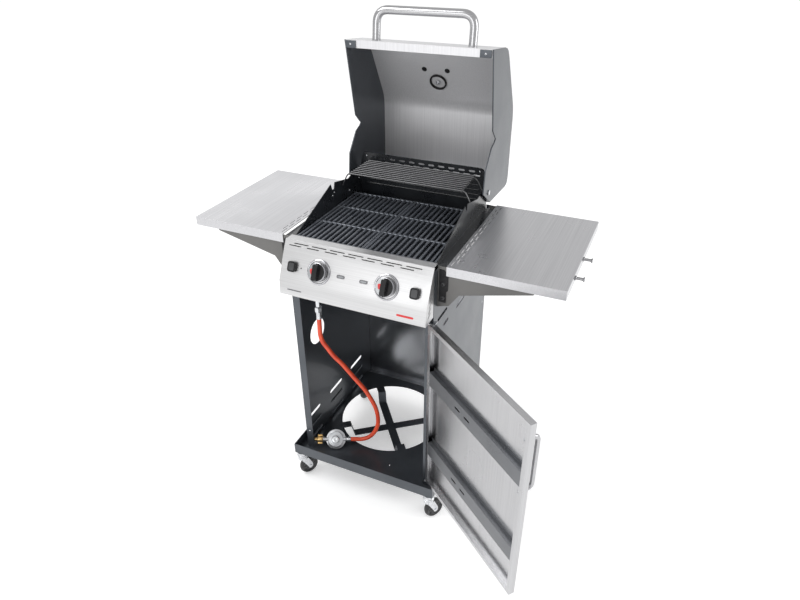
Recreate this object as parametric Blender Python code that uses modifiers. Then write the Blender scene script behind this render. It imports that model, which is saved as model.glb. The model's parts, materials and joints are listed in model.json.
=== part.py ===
"""Two-burner gas barbecue on a wheeled cabinet cart, with its lid and its cabinet door open.

Metres, +Z up. X = 0 is the cart's plane of symmetry, the front faces -Y and the floor is z = 0.
The last step moves the whole grill so that the box around it stands centred on the origin.
"""

import math

import bmesh
import bpy
from mathutils import Vector

# ---------------------------------------------------------------- driving dimensions (m)
GAP = 0.0003
SHEET = 0.002
THROUGH = 0.010

CABINET_HALF = 0.2295
CABINET_FRONT = -0.220
CABINET_DEPTH = 0.490
CABINET_REAR = CABINET_FRONT + CABINET_DEPTH
DECK_TOP = 0.916

TRAY_BOTTOM = 0.108
TRAY_LIP = 0.039
TRAY_SIDE_MARGIN = 0.0265
TRAY_FRONT_MARGIN = 0.044
TRAY_REAR_MARGIN = 0.004
TRAY_HALF = CABINET_HALF + TRAY_SIDE_MARGIN
TRAY_FLOOR = TRAY_BOTTOM + SHEET
TRAY_LIP_TOP = TRAY_BOTTOM + TRAY_LIP
BOTTLE_HOLE_RADIUS = 0.178
BOTTLE_CENTRE = (-0.030, 0.036)
STRAP_WIDTH = 0.030
STRAP_DROP = 0.046

SHELF_WIDTH = 0.316
SHELF_INNER_GAP = 0.0245
SHELF_FRONT = -0.200
SHELF_REAR_MARGIN = 0.018
SHELF_REAR = CABINET_REAR - SHELF_REAR_MARGIN
SHELF_SKIRT = 0.027
SHELF_INNER = CABINET_HALF + SHELF_INNER_GAP
SHELF_REACH = SHELF_INNER + SHELF_WIDTH
PEG_LENGTH = 0.025

FIREBOX_SIDE_GAP = 0.0055
FIREBOX_WALL = 0.0025
FIREBOX_HALF = CABINET_HALF - SHEET - FIREBOX_SIDE_GAP
FIREBOX_FRONT = CABINET_FRONT + 0.030
FIREBOX_REAR = CABINET_REAR - 0.030
FIREBOX_BOTTOM = DECK_TOP - 0.171
GRATE_TOP = DECK_TOP - 0.003
GRATE_THICKNESS = 0.012
GRATE_REAR = CABINET_REAR - 0.084
GRATE_BARS = 13
BURNER_THROAT = 0.010
RUNNER_HALF = 0.2045
RUNNER_DROP = 0.051

LID_SIDE_GAP = 0.0053
LID_SIDE = 0.004
LID_HALF = FIREBOX_HALF + LID_SIDE_GAP + LID_SIDE
LID_OPEN = math.radians(90)
PIVOT = (CABINET_REAR - 0.0473, DECK_TOP + 0.0498)
HANDLE_RADIUS = 0.0125
LID_PIN_RADIUS = 0.0040
LID_PIN_BORE = LID_PIN_RADIUS + 0.0005

PANEL_HALF = CABINET_HALF - 0.0005
PANEL_BACK = CABINET_FRONT - 0.0025
KNOB_X = 0.105
KNOB_UP = 0.045
KNOB_RADIUS = 0.0275
KNOB_BACK = 0.0045
BEZEL_CLEARANCE = 0.0040
BEZEL_INNER = KNOB_RADIUS + BEZEL_CLEARANCE
BEZEL_OUTER = BEZEL_INNER + 0.0055
STEM_RADIUS = 0.0038
STEM_CLEARANCE = 0.0007
BUTTON_X = 0.190
PUSH_ROOM = 0.0035

DOOR_WIDTH = 0.456
DOOR_THICKNESS = 0.018
DOOR_BOTTOM = TRAY_LIP_TOP + 0.003
DOOR_TOP = DECK_TOP - 0.1645
DOOR_OPEN = math.radians(141.6)
DOOR_PIN = (CABINET_HALF - 0.0005, CABINET_FRONT - 0.013)
DOOR_PIN_RADIUS = 0.003
DOOR_PIN_CLEARANCE = 0.0008
DOOR_EDGE_PAST_PIN = 0.004

WHEEL_RADIUS = 0.034
WHEEL_WIDTH = 0.022
WHEEL_BORE = 0.0046
AXLE_RADIUS = 0.004
CASTER_TRAIL = 0.020
CASTER_X = TRAY_HALF - 0.018
CASTER_FRONT = CABINET_FRONT - TRAY_FRONT_MARGIN + 0.017
CASTER_REAR = CABINET_REAR - 0.035
CASTER_TURN = {"front_left": 152, "front_right": 148, "rear_left": 14, "rear_right": 330}

HOSE_RADIUS = 0.0073
HOSE_ROUTE = [
    (-0.1530, -0.2005, 0.6510), (-0.1535, -0.2005, 0.6185), (-0.1535, -0.2005, 0.5900),
    (-0.1485, -0.1980, 0.5640), (-0.1385, -0.1920, 0.5420), (-0.1220, -0.1830, 0.5080),
    (-0.0995, -0.1700, 0.4725), (-0.0830, -0.1600, 0.4410), (-0.0655, -0.1500, 0.4080),
    (-0.0420, -0.1365, 0.3650), (-0.0245, -0.1260, 0.3215), (-0.0110, -0.1180, 0.2780),
    (-0.0050, -0.1150, 0.2340), (-0.0070, -0.1165, 0.2000), (-0.0185, -0.1220, 0.1680),
    (-0.0370, -0.1310, 0.1465), (-0.0585, -0.1415, 0.1390), (-0.0750, -0.1490, 0.1392),
    (-0.0922, -0.1567, 0.1392),
]
HOSE_STEP = 0.032
REGULATOR_CENTRE = (-0.1400, -0.1780, 0.1392)
REGULATOR_RADIUS = 0.034
REGULATOR_HEADING = math.radians(24)
REGULATOR_LEAN = math.radians(52)

STEEL = ((0.72, 0.72, 0.73), 0.32, 1.0)
GALVANISED = ((0.45, 0.46, 0.47), 0.45, 0.9)
ZINC = ((0.66, 0.67, 0.69), 0.35, 1.0)
GRAPHITE = ((0.055, 0.062, 0.072), 0.45, 0.3)
ENAMEL = ((0.018, 0.019, 0.022), 0.30, 0.0)
PLASTIC = ((0.015, 0.015, 0.016), 0.42, 0.0)
RUBBER = ((0.80, 0.12, 0.05), 0.55, 0.0)
BRASS = ((0.70, 0.50, 0.24), 0.35, 1.0)
CAST_IRON = ((0.022, 0.024, 0.028), 0.38, 0.2)

UPRIGHT_SIDE = (math.radians(90), 0, math.radians(90))
UPRIGHT_FRONT = (math.radians(90), 0, 0)
SIDEWAYS = (0, math.radians(90), 0)

for old in list(bpy.data.objects):
    bpy.data.objects.remove(old, do_unlink=True)
PARTS = bpy.data.collections.new("gas_barbecue")
TOOLS = bpy.data.collections.new("cutters")
bpy.context.scene.collection.children.link(PARTS)
bpy.context.scene.collection.children.link(TOOLS)


# ---------------------------------------------------------------- modelling helpers
def painted(name, finish):
    """A Principled material of this piece's own."""
    colour, roughness, metallic = finish
    material = bpy.data.materials.new(name)
    material.use_nodes = True
    shader = material.node_tree.nodes["Principled BSDF"]
    shader.inputs["Base Color"].default_value = (*colour, 1)
    shader.inputs["Roughness"].default_value = roughness
    shader.inputs["Metallic"].default_value = metallic
    return material


def piece(name, mesh, finish, parent=None, location=(0, 0, 0), rotation=(0, 0, 0)):
    """A named sub-part; with no finish it is a helper that cuts or joins."""
    obj = bpy.data.objects.new(name, mesh)
    obj.location = location
    obj.rotation_euler = rotation
    obj.parent = parent
    if finish is None:
        TOOLS.objects.link(obj)
        obj.hide_render = True
        obj.display_type = "WIRE"
    else:
        PARTS.objects.link(obj)
        obj.data.materials.append(painted(name, finish))
    return obj


def axis(name, location, rotation=(0, 0, 0), parent=None):
    """An empty on a joint's axis, which its pieces hang from."""
    empty = bpy.data.objects.new(name, None)
    empty.empty_display_size = 0.02
    empty.location = location
    empty.rotation_euler = rotation
    empty.parent = parent
    PARTS.objects.link(empty)
    return empty


def block(name, low, high, finish=None, parent=None):
    """A box between two corners."""
    low, high = Vector(low), Vector(high)
    bm = bmesh.new()
    bmesh.ops.create_cube(bm, size=1)
    bmesh.ops.scale(bm, vec=high - low, verts=bm.verts)
    mesh = bpy.data.meshes.new(name)
    bm.to_mesh(mesh)
    bm.free()
    return piece(name, mesh, finish, parent, (low + high) / 2)


def plate(
    name, outlines, thickness, finish=None, parent=None, location=(0, 0, 0), rotation=(0, 0, 0)
):
    """A flat outline with its holes, given half its thickness each side of its own plane."""
    curve = bpy.data.curves.new(name, "CURVE")
    curve.dimensions = "2D"
    curve.fill_mode = "BOTH"
    curve.extrude = thickness / 2
    for outline in outlines:
        spline = curve.splines.new("POLY")
        spline.points.add(len(outline) - 1)
        for point, (u, v) in zip(spline.points, outline):
            point.co = (u, v, 0, 1)
        spline.use_cyclic_u = True
    return piece(name, meshed(curve), finish, parent, location, rotation)


def meshed(curve):
    """A curve's solid as a mesh with its caps welded on."""
    guide = bpy.data.objects.new(curve.name, curve)
    TOOLS.objects.link(guide)
    graph = bpy.context.evaluated_depsgraph_get()
    mesh = bpy.data.meshes.new_from_object(guide.evaluated_get(graph))
    bpy.data.objects.remove(guide)
    bm = bmesh.new()
    bm.from_mesh(mesh)
    bmesh.ops.remove_doubles(bm, verts=bm.verts, dist=1e-5)
    bm.to_mesh(mesh)
    bm.free()
    return mesh


def rod(name, points, radius, finish=None, parent=None, sides=2):
    """A round bar or tube along a path."""
    curve = bpy.data.curves.new(name, "CURVE")
    curve.dimensions = "3D"
    curve.bevel_depth = radius
    curve.bevel_resolution = sides
    curve.use_fill_caps = True
    spline = curve.splines.new("POLY")
    spline.points.add(len(points) - 1)
    for point, place in zip(spline.points, points):
        point.co = (*place, 1)
    mesh = meshed(curve)
    mesh.shade_smooth()
    mesh.set_sharp_from_angle(angle=math.radians(40))
    return piece(name, mesh, finish, parent)


def turned(
    name, profile, finish=None, parent=None, location=(0, 0, 0), rotation=(0, 0, 0), steps=24
):
    """A profile of (radius, height) points, down its outer side, spun about local Z."""
    mesh = bpy.data.meshes.new(name)
    bm = bmesh.new()
    points = [bm.verts.new((r, 0, z)) for r, z in profile]
    for first, second in zip(points, points[1:]):
        bm.edges.new((first, second))
    if profile[0][0] > 0:
        bm.edges.new((points[-1], points[0]))
    bm.to_mesh(mesh)
    bm.free()
    obj = piece(name, mesh, finish, parent, location, rotation)
    screw = obj.modifiers.new("spin", "SCREW")
    screw.steps = screw.render_steps = steps
    screw.use_merge_vertices = True
    screw.merge_threshold = 0.0001
    return obj


def cylinder(
    name, radius, low, high, finish=None, parent=None, location=(0, 0, 0), rotation=(0, 0, 0), steps=24
):
    """A round bar between two heights on local Z."""
    profile = [(0, high), (radius, high), (radius, low), (0, low)]
    return turned(name, profile, finish, parent, location, rotation, steps)


def apply_tool(obj, tool, operation):
    modifier = obj.modifiers.new(tool.name, "BOOLEAN")
    modifier.object = tool
    modifier.operation = operation
    modifier.solver = "EXACT"


def cut(obj, *tools):
    for tool in tools:
        apply_tool(obj, tool, "DIFFERENCE")


def join(obj, *tools):
    for tool in tools:
        apply_tool(obj, tool, "UNION")


def rounded(path, radius, steps=3, closed=False):
    """The path with each corner turned into a short curve."""
    path = [Vector(p) for p in path]
    result = []
    for index, corner in enumerate(path):
        if not closed and index in (0, len(path) - 1):
            result.append(corner)
            continue
        before = path[index - 1] - corner
        after = path[(index + 1) % len(path)] - corner
        reach = min(radius, before.length * 0.45, after.length * 0.45)
        start = corner + before.normalized() * reach
        end = corner + after.normalized() * reach
        for step in range(steps + 1):
            t = step / steps
            result.append(start * (1 - t) ** 2 + corner * 2 * t * (1 - t) + end * t**2)
    return result


def beside(path, distance):
    """The open path moved to its left by a distance, with mitred corners."""
    path = [Vector(p) for p in path]
    moved = []
    for index, point in enumerate(path):
        before = (point - path[max(index - 1, 0)]).normalized()
        after = (path[min(index + 1, len(path) - 1)] - point).normalized()
        before = before if before.length else after
        after = after if after.length else before
        middle = (before + after).normalized()
        left = Vector((-middle.y, middle.x))
        moved.append(point + left * distance / max(middle.dot(after), 0.3))
    return moved


def band(path, thickness):
    """The closed outline of folded sheet whose one face follows the path."""
    return [Vector(p) for p in path] + beside(path, thickness)[::-1]


def slot(u, v, length, height):
    """A long hole with chamfered ends, centred on (u, v)."""
    a, b = length / 2, height / 2
    return [
        (u - a, v), (u - a + b, v - b), (u + a - b, v - b),
        (u + a, v), (u + a - b, v + b), (u - a + b, v + b),
    ]


def disc(u, v, radius, count=20):
    """A round hole's outline."""
    turns = [2 * math.pi * i / count for i in range(count)]
    return [(u + radius * math.cos(t), v + radius * math.sin(t)) for t in turns]


def rectangle(low, high):
    return [(low[0], low[1]), (high[0], low[1]), (high[0], high[1]), (low[0], high[1])]


def smooth_route(points, step):
    """Evenly spaced points on one smooth curve through the given ones."""
    points = [Vector(p) for p in points]
    padded = [2 * points[0] - points[1]] + points + [2 * points[-1] - points[-2]]
    dense = []
    for a, b, c, d in zip(padded, padded[1:], padded[2:], padded[3:]):
        for k in range(12):
            t = k / 12
            square = (2 * a - 5 * b + 4 * c - d) * t**2
            cube = (3 * b - a - 3 * c + d) * t**3
            dense.append(0.5 * (2 * b + (c - a) * t + square + cube))
    dense.append(points[-1])
    lengths = [0]
    for a, b in zip(dense, dense[1:]):
        lengths.append(lengths[-1] + (b - a).length)
    count = max(round(lengths[-1] / step), 2)
    spaced = []
    for i in range(count + 1):
        target = lengths[-1] * i / count
        k = max(j for j, s in enumerate(lengths) if s <= target + 1e-9)
        k = min(k, len(dense) - 2)
        t = (target - lengths[k]) / max(lengths[k + 1] - lengths[k], 1e-9)
        spaced.append(dense[k].lerp(dense[k + 1], t))
    return spaced


SIDES = (("left", -1), ("right", 1))


# ---------------------------------------------------------------- base tray and bottle cradle
def base_tray():
    front = CABINET_FRONT - TRAY_FRONT_MARGIN
    rear = CABINET_REAR + TRAY_REAR_MARGIN
    tray = block("base_tray", (-TRAY_HALF, front, TRAY_BOTTOM), (TRAY_HALF, rear, TRAY_LIP_TOP), GRAPHITE)
    hollow = block(
        "tray_hollow",
        (-TRAY_HALF + SHEET, front + SHEET, TRAY_FLOOR),
        (TRAY_HALF - SHEET, rear - SHEET, TRAY_LIP_TOP + 0.01),
    )
    hole = cylinder(
        "bottle_hole", BOTTLE_HOLE_RADIUS, TRAY_BOTTOM - 0.01, TRAY_FLOOR + 0.01,
        location=(*BOTTLE_CENTRE, 0), steps=48,
    )
    cut(tray, hollow, hole)


def bottle_strap(name, turn, lift):
    """A folded strap under the hole, which the foot of the bottle stands on."""
    reach = BOTTLE_HOLE_RADIUS + 0.022
    top = TRAY_BOTTOM - GAP
    foot = top - STRAP_DROP + lift
    leg = BOTTLE_HOLE_RADIUS - 0.030
    path = [(-reach, top), (-leg, top), (-leg + 0.012, foot), (leg - 0.012, foot), (leg, top), (reach, top)]
    outline = band(path, -0.0025)
    plate(
        name, [outline], STRAP_WIDTH, GRAPHITE, location=(*BOTTLE_CENTRE, 0),
        rotation=(math.radians(90), 0, turn),
    )


# ---------------------------------------------------------------- cabinet
SLOT_ROWS = (0.019, 0.070, 0.114)
SLOT_COLUMNS = (0.053, 0.211, 0.369)
UPPER_SLOTS = ((0.069, -0.181, 0.078), (0.100, -0.224, 0.042), (0.224, -0.224, 0.074))
ROUND_HOLE = (0.119, 0.413, 0.045)


def side_panel(name, side):
    """A sheet with its front and rear edges turned in, standing in the tray."""
    bottom = TRAY_FLOOR + GAP
    top = DECK_TOP - 0.0105
    section = [
        (side * (CABINET_HALF - 0.025), CABINET_FRONT), (side * CABINET_HALF, CABINET_FRONT),
        (side * CABINET_HALF, CABINET_REAR), (side * (CABINET_HALF - 0.015), CABINET_REAR),
    ]
    middle = (0, 0, (top + bottom) / 2)
    panel = plate(name, [band(section, side * SHEET)], top - bottom, GRAPHITE, location=middle)
    holes = []
    for column in SLOT_COLUMNS:
        for row in SLOT_ROWS:
            holes.append(slot(CABINET_FRONT + column, TRAY_FLOOR + row, 0.090, 0.012))
    for u, v, length in UPPER_SLOTS:
        holes.append(slot(CABINET_FRONT + u, DECK_TOP + v, length, 0.010))
    if side < 0:
        holes.append(disc(CABINET_FRONT + ROUND_HOLE[0], TRAY_FLOOR + ROUND_HOLE[1], ROUND_HOLE[2]))
    x = side * (CABINET_HALF - SHEET / 2)
    cut(panel, plate(f"{name}_slots", holes, 4 * SHEET, location=(x, 0, 0), rotation=UPRIGHT_SIDE))


def back_panel():
    """The cabinet's rear sheet, with its foot turned forward on the tray."""
    rear = CABINET_REAR - SHEET - GAP
    half = CABINET_HALF - SHEET - GAP
    bottom = TRAY_FLOOR + GAP
    top = FIREBOX_BOTTOM - 0.057
    path = [(rear - 0.020, bottom), (rear, bottom), (rear, top), (rear - 0.012, top)]
    plate("back_panel", [band(path, SHEET)], 2 * half, GALVANISED, rotation=UPRIGHT_SIDE)


def front_rail():
    half = CABINET_HALF - 0.025 - GAP
    low, high = DECK_TOP - 0.176, DECK_TOP - 0.1535
    path = [(CABINET_FRONT, low), (CABINET_FRONT, high), (CABINET_FRONT + 0.008, high)]
    plate("front_rail", [band(path, -SHEET)], 2 * half, GRAPHITE, rotation=UPRIGHT_SIDE)


# ---------------------------------------------------------------- side shelves
def shelf(name, side):
    """A steel tray turned upside down, open on its inner side."""
    inner, outer = sorted((side * SHELF_INNER, side * SHELF_REACH))
    bottom = DECK_TOP - SHELF_SKIRT
    top = block(name, (inner, SHELF_FRONT, bottom), (outer, SHELF_REAR, DECK_TOP), STEEL)
    low_x = inner - THROUGH if side > 0 else inner + SHEET
    high_x = outer - SHEET if side > 0 else outer + THROUGH
    hollow = block(
        f"{name}_hollow",
        (low_x, SHELF_FRONT + SHEET, bottom - THROUGH),
        (high_x, SHELF_REAR - SHEET, DECK_TOP - SHEET),
    )
    cut(top, hollow)


def shelf_frame(name, side):
    """Two pressed wings under a shelf, one at each end of the rail that bolts to the cabinet."""
    top = DECK_TOP - SHEET - GAP
    start = CABINET_HALF + GAP
    reach = SHELF_WIDTH - 0.050
    wing = [
        (start, top), (start + reach, top), (start + reach, top - 0.017),
        (start + reach - 0.008, top - 0.030), (start + 0.062, top - 0.077),
        (start + 0.034, top - 0.116), (start, top - 0.126),
    ]
    outline = [(side * u, v) for u, v in wing]
    half = SHEET / 2
    front = SHELF_FRONT + SHEET + GAP + half
    rear = SHELF_REAR - SHEET - GAP - half
    frame = plate(name, [outline], SHEET, GRAPHITE, location=(0, front, 0), rotation=UPRIGHT_FRONT)
    back = plate(f"{name}_rear_wing", [outline], SHEET, location=(0, rear, 0), rotation=UPRIGHT_FRONT)
    xs = sorted((side * start, side * (start + SHEET)))
    rail = block(f"{name}_rail", (xs[0], front - half, top - 0.110), (xs[1], rear + half, top - 0.020))
    join(frame, rail, back)


def tool_peg(name, y):
    """A flanged steel peg on the right shelf's outer skirt, where tools hang."""
    z = DECK_TOP - SHELF_SKIRT / 2
    profile = [
        (0, PEG_LENGTH), (0.0065, PEG_LENGTH), (0.0065, PEG_LENGTH - 0.004), (0.0040, PEG_LENGTH - 0.005),
        (0.0040, 0.003), (0.0065, 0.002), (0.0065, GAP), (0, GAP),
    ]
    turned(name, profile, STEEL, location=(SHELF_REACH, y, z), rotation=SIDEWAYS, steps=16)


# ---------------------------------------------------------------- firebox and what cooks
def firebox():
    """The enamelled box, with high rear sides, ears for the lid's pins and rails for the grease tray."""
    f, r, d = FIREBOX_FRONT, FIREBOX_REAR, DECK_TOP
    outline = [
        (f, FIREBOX_BOTTOM), (r, FIREBOX_BOTTOM), (r, d + 0.060), (r - 0.005, d + 0.069),
        (r - 0.040, d + 0.069), (r - 0.095, d + 0.056), (r - 0.182, d + 0.074),
        (r - 0.188, d + 0.054), (r - 0.200, d + 0.054), (r - 0.207, d + 0.075),
        (f + 0.005, d - 0.006), (f, d - 0.011),
    ]
    box = plate("firebox", [outline], 2 * FIREBOX_HALF, ENAMEL, rotation=UPRIGHT_SIDE)
    inside = FIREBOX_HALF - FIREBOX_WALL
    hollow = block(
        "firebox_hollow",
        (-inside, f + FIREBOX_WALL, FIREBOX_BOTTOM + FIREBOX_WALL),
        (inside, r - FIREBOX_WALL, d + 0.2),
    )
    low_rear = block("firebox_low_rear", (-inside, r - 0.01, d + 0.014), (inside, r + 0.01, d + 0.2))
    drain = block(
        "drain", (-0.030, -0.010, FIREBOX_BOTTOM - THROUGH), (0.030, 0.050, FIREBOX_BOTTOM + THROUGH)
    )
    cut(box, hollow, low_rear, drain)
    for side, sign in SIDES:
        cut(box, cylinder(
            f"pin_hole_{side}", LID_PIN_BORE, -THROUGH, THROUGH, location=(sign * FIREBOX_HALF, *PIVOT),
            rotation=SIDEWAYS, steps=16,
        ))
        cut(box, cylinder(
            f"burner_hole_{side}", BURNER_THROAT + 0.0012, -THROUGH, THROUGH,
            location=(sign * KNOB_X, f, BURNER_Z), rotation=UPRIGHT_FRONT, steps=16,
        ))
        xs = sorted((sign * (FIREBOX_HALF - 0.001), sign * (SHELF_INNER - 0.001)))
        join(box, block(f"deck_flange_{side}", (xs[0], f + 0.005, d - 0.010), (xs[1], r - 0.005, d - 0.008)))
        web = sign * RUNNER_HALF
        face = sign * (RUNNER_HALF + SHEET)
        toe = sign * (RUNNER_HALF - 0.0145)
        floor = FIREBOX_BOTTOM - RUNNER_DROP
        runner = [
            (face, FIREBOX_BOTTOM + 0.001), (web, FIREBOX_BOTTOM + 0.001), (web, floor),
            (toe, floor), (toe, floor - SHEET), (face, floor - SHEET),
        ]
        length = r - f - 0.045
        join(box, plate(
            f"tray_runner_{side}", [runner], length,
            location=(0, f + 0.040 + length / 2, 0), rotation=UPRIGHT_FRONT,
        ))
    ledge_top = GRATE_TOP - GRATE_THICKNESS - GAP
    join(
        box,
        block(
            "front_ledge", (-inside - 0.001, f + 0.001, ledge_top - 0.004),
            (inside + 0.001, f + 0.014, ledge_top),
        ),
        block(
            "rear_ledge", (-inside - 0.001, GRATE_REAR - 0.006, ledge_top - 0.008),
            (inside + 0.001, GRATE_REAR + 0.010, ledge_top),
        ),
    )


def rear_baffle():
    """The slotted plate that stands behind the warming rack."""
    half = FIREBOX_HALF - FIREBOX_WALL - GAP
    low, high = DECK_TOP - 0.040, DECK_TOP + 0.120
    outline = rounded(
        [(-half, low), (half, low), (half, high - 0.045), (half - 0.010, high), (-half + 0.010, high),
         (-half, high - 0.045)], 0.012, 2, closed=True,
    )
    holes = []
    for i in range(11):
        holes.append(slot((i - 5) * 0.034, high - 0.014, 0.022, 0.006))
    y = FIREBOX_REAR - FIREBOX_WALL - GAP - SHEET / 2
    plate("rear_baffle", [outline] + holes, SHEET, ENAMEL, location=(0, y, 0), rotation=UPRIGHT_FRONT)


BURNER_Z = DECK_TOP - 0.116


def burner(name, x):
    """A steel tube burner whose throat comes out through the firebox's front wall."""
    front = FIREBOX_FRONT - 0.024
    rear = FIREBOX_REAR - 0.040
    profile = [
        (0, -front), (BURNER_THROAT, -front), (BURNER_THROAT, -FIREBOX_FRONT - 0.006),
        (0.016, -FIREBOX_FRONT - 0.026), (0.016, -rear), (0, -rear),
    ]
    turned(name, profile, STEEL, location=(x, 0, BURNER_Z), rotation=UPRIGHT_FRONT, steps=16)


def heat_plate(name, x):
    """A folded tent of enamelled sheet that shields one burner."""
    ridge = BURNER_Z + 0.052
    half = 0.094
    path = [(x - half, ridge - 0.030), (x - 0.030, ridge), (x + 0.030, ridge), (x + half, ridge - 0.030)]
    front = FIREBOX_FRONT + FIREBOX_WALL + GAP
    rear = FIREBOX_REAR - 0.045
    middle = (0, (front + rear) / 2, 0)
    plate(name, [band(path, SHEET)], rear - front, ENAMEL, location=middle, rotation=UPRIGHT_FRONT)


def grate(name, side):
    """A cast grate of long bars, tied by three cross bars and two ends."""
    inner, outer = 0.0006, FIREBOX_HALF - FIREBOX_WALL - 0.0015
    front = FIREBOX_FRONT + FIREBOX_WALL + 0.0008
    pitch = (outer - inner) / GRATE_BARS
    bar = 0.0060
    lengths = (GRATE_REAR - front - bar) / 3
    holes = []
    for i in range(GRATE_BARS):
        low = inner + i * pitch + bar / 2
        high = inner + (i + 1) * pitch - bar / 2
        for k in range(3):
            near = front + bar + k * lengths
            far = near + lengths - bar
            us = sorted((side * low, side * high))
            holes.append(rectangle((us[0], near), (us[1], far)))
    us = sorted((side * inner, side * outer))
    outline = rectangle((us[0], front), (us[1], GRATE_REAR))
    middle = (0, 0, GRATE_TOP - GRATE_THICKNESS / 2)
    plate(name, [outline] + holes, GRATE_THICKNESS, CAST_IRON, location=middle)


def warming_rack():
    """A grid of wires along X, whose corner feet rest in the firebox's side walls."""
    half, thickness = 0.186, 0.004
    front, rear = FIREBOX_REAR - 0.148, FIREBOX_REAR - 0.018
    wires = 9
    pitch = (rear - front) / wires
    holes = []
    for i in range(wires):
        for low, high in ((-half + 0.004, -0.002), (0.002, half - 0.004)):
            holes.append(rectangle((low, front + i * pitch + 0.004), (high, front + (i + 1) * pitch)))
    outline = rectangle((-half, front), (half, rear + 0.004))
    z = DECK_TOP + 0.096
    rack = plate("warming_rack", [outline] + holes, thickness, STEEL, location=(0, 0, z))
    foot = FIREBOX_HALF - FIREBOX_WALL - 0.0022
    for side, sign in SIDES:
        for end, y in (("front", front + 0.010), ("rear", rear - 0.012)):
            path = [
                (sign * (half - 0.002), y, z), (sign * (half + 0.012), y, z - 0.012),
                (sign * foot, y, z - 0.048),
            ]
            join(rack, rod(f"rack_foot_{end}_{side}", path, 0.0022, sides=1))


# ---------------------------------------------------------------- control panel and gas
PANEL_PATH = [
    (CABINET_FRONT + 0.0005, DECK_TOP + 0.002), (CABINET_FRONT - 0.0136, DECK_TOP - 0.0214),
    (CABINET_FRONT - 0.0543, DECK_TOP - 0.1067), (CABINET_FRONT - 0.0580, DECK_TOP - 0.1504),
    (CABINET_FRONT - 0.0450, DECK_TOP - 0.1504),
]
FACE_UP = (Vector(PANEL_PATH[1]) - Vector(PANEL_PATH[2])).normalized()
FACE_TURN = math.atan2(FACE_UP.y, FACE_UP.x)


def face_axis(name, x, up):
    """An empty on the panel's sloping face, with local Z straight out of it."""
    place = Vector(PANEL_PATH[2]) + FACE_UP * up
    return axis(name, (x, *place), (FACE_TURN, 0, 0))


def control_panel():
    """A folded steel fascia between two cheeks, with holes for the valve stems and the buttons."""
    panel = plate("control_panel", [band(PANEL_PATH, SHEET)], 2 * PANEL_HALF, STEEL, rotation=UPRIGHT_SIDE)
    cheek = [
        (CABINET_FRONT - 0.0025, DECK_TOP - 0.0030), (CABINET_FRONT - 0.0130, DECK_TOP - 0.0214),
        (CABINET_FRONT - 0.0537, DECK_TOP - 0.1067), (CABINET_FRONT - 0.0574, DECK_TOP - 0.1498),
        (PANEL_BACK, DECK_TOP - 0.1498),
    ]
    flange_half = CABINET_HALF - SHEET - 0.0015
    lip = block(
        "panel_top_flange", (-flange_half, CABINET_FRONT - 0.0010, DECK_TOP - 0.0005),
        (flange_half, FIREBOX_FRONT - 0.003, DECK_TOP + 0.0015),
    )
    join(panel, lip)
    for side, sign in SIDES:
        x = sign * (PANEL_HALF - SHEET / 2)
        middle = (x, 0, 0)
        join(panel, plate(f"panel_cheek_{side}", [cheek], SHEET, location=middle, rotation=UPRIGHT_SIDE))
        for kind, offset, radius in (("stem", KNOB_X, 0.0065), ("button", BUTTON_X, 0.0050)):
            seat = face_axis(f"{kind}_hole_axis_{side}", sign * offset, KNOB_UP)
            cut(panel, cylinder(f"{kind}_hole_{side}", radius, -THROUGH, THROUGH, parent=seat, steps=16))


PIPE_DEPTH = 0.048


def gas_manifold():
    """The supply pipe behind the panel, with a valve body on it for each burner."""
    inward = Vector((FACE_UP.y, -FACE_UP.x))
    centre = Vector(PANEL_PATH[2]) + FACE_UP * KNOB_UP + inward * PIPE_DEPTH
    drop_x, drop_y, drop_z = HOSE_ROUTE[0]
    level = centre.y
    path = rounded([
        (KNOB_X + 0.025, centre.x, level), (drop_x, centre.x, level), (drop_x, drop_y - 0.001, level - 0.020),
        (drop_x, drop_y, drop_z + 0.0435),
    ], 0.016, 4)
    pipe = rod("gas_manifold", path, 0.007, STEEL)
    for side, sign in SIDES:
        seat = face_axis(f"valve_axis_{side}", sign * KNOB_X, KNOB_UP)
        bore = STEM_RADIUS + STEM_CLEARANCE
        profile = [
            (0, -0.026), (bore, -0.026), (bore, -0.0085), (0.011, -0.0085),
            (0.011, -PIPE_DEPTH), (0, -PIPE_DEPTH),
        ]
        body = turned(f"valve_body_{side}", profile, parent=seat, steps=16)
        join(pipe, body)


def bezel(name, x):
    """The chrome ring round a knob."""
    seat = face_axis(f"{name}_axis", x, KNOB_UP)
    profile = [
        (BEZEL_INNER, 0.0040), (BEZEL_INNER + 0.0025, 0.0050), (BEZEL_OUTER, 0.0025),
        (BEZEL_OUTER, GAP), (BEZEL_INNER, GAP),
    ]
    turned(name, profile, STEEL, parent=seat, steps=28)


def valve_stem(name, seat):
    """The stem that the knob turns on; it pushes in against its spring."""
    cylinder(name, STEM_RADIUS, -0.016, 0.0185, BRASS, seat, steps=12)


def knob(name, seat):
    """A round knob with a grip rib, bored for the stem."""
    bore = STEM_RADIUS + STEM_CLEARANCE
    profile = [
        (0, 0.0220), (KNOB_RADIUS - 0.0060, 0.0220), (KNOB_RADIUS - 0.0030, 0.0200),
        (KNOB_RADIUS, 0.0060), (KNOB_RADIUS, KNOB_BACK),
        (bore, KNOB_BACK), (bore, 0.0190), (0, 0.0190),
    ]
    body = turned(name, profile, PLASTIC, seat, steps=28)
    reach = KNOB_RADIUS - 0.0050
    rib = rounded(rectangle((-0.007, -reach), (0.007, reach)), 0.006, 2, closed=True)
    join(body, plate(f"{name}_rib", [rib], 0.014, parent=seat, location=(0, 0, 0.027)))


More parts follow.
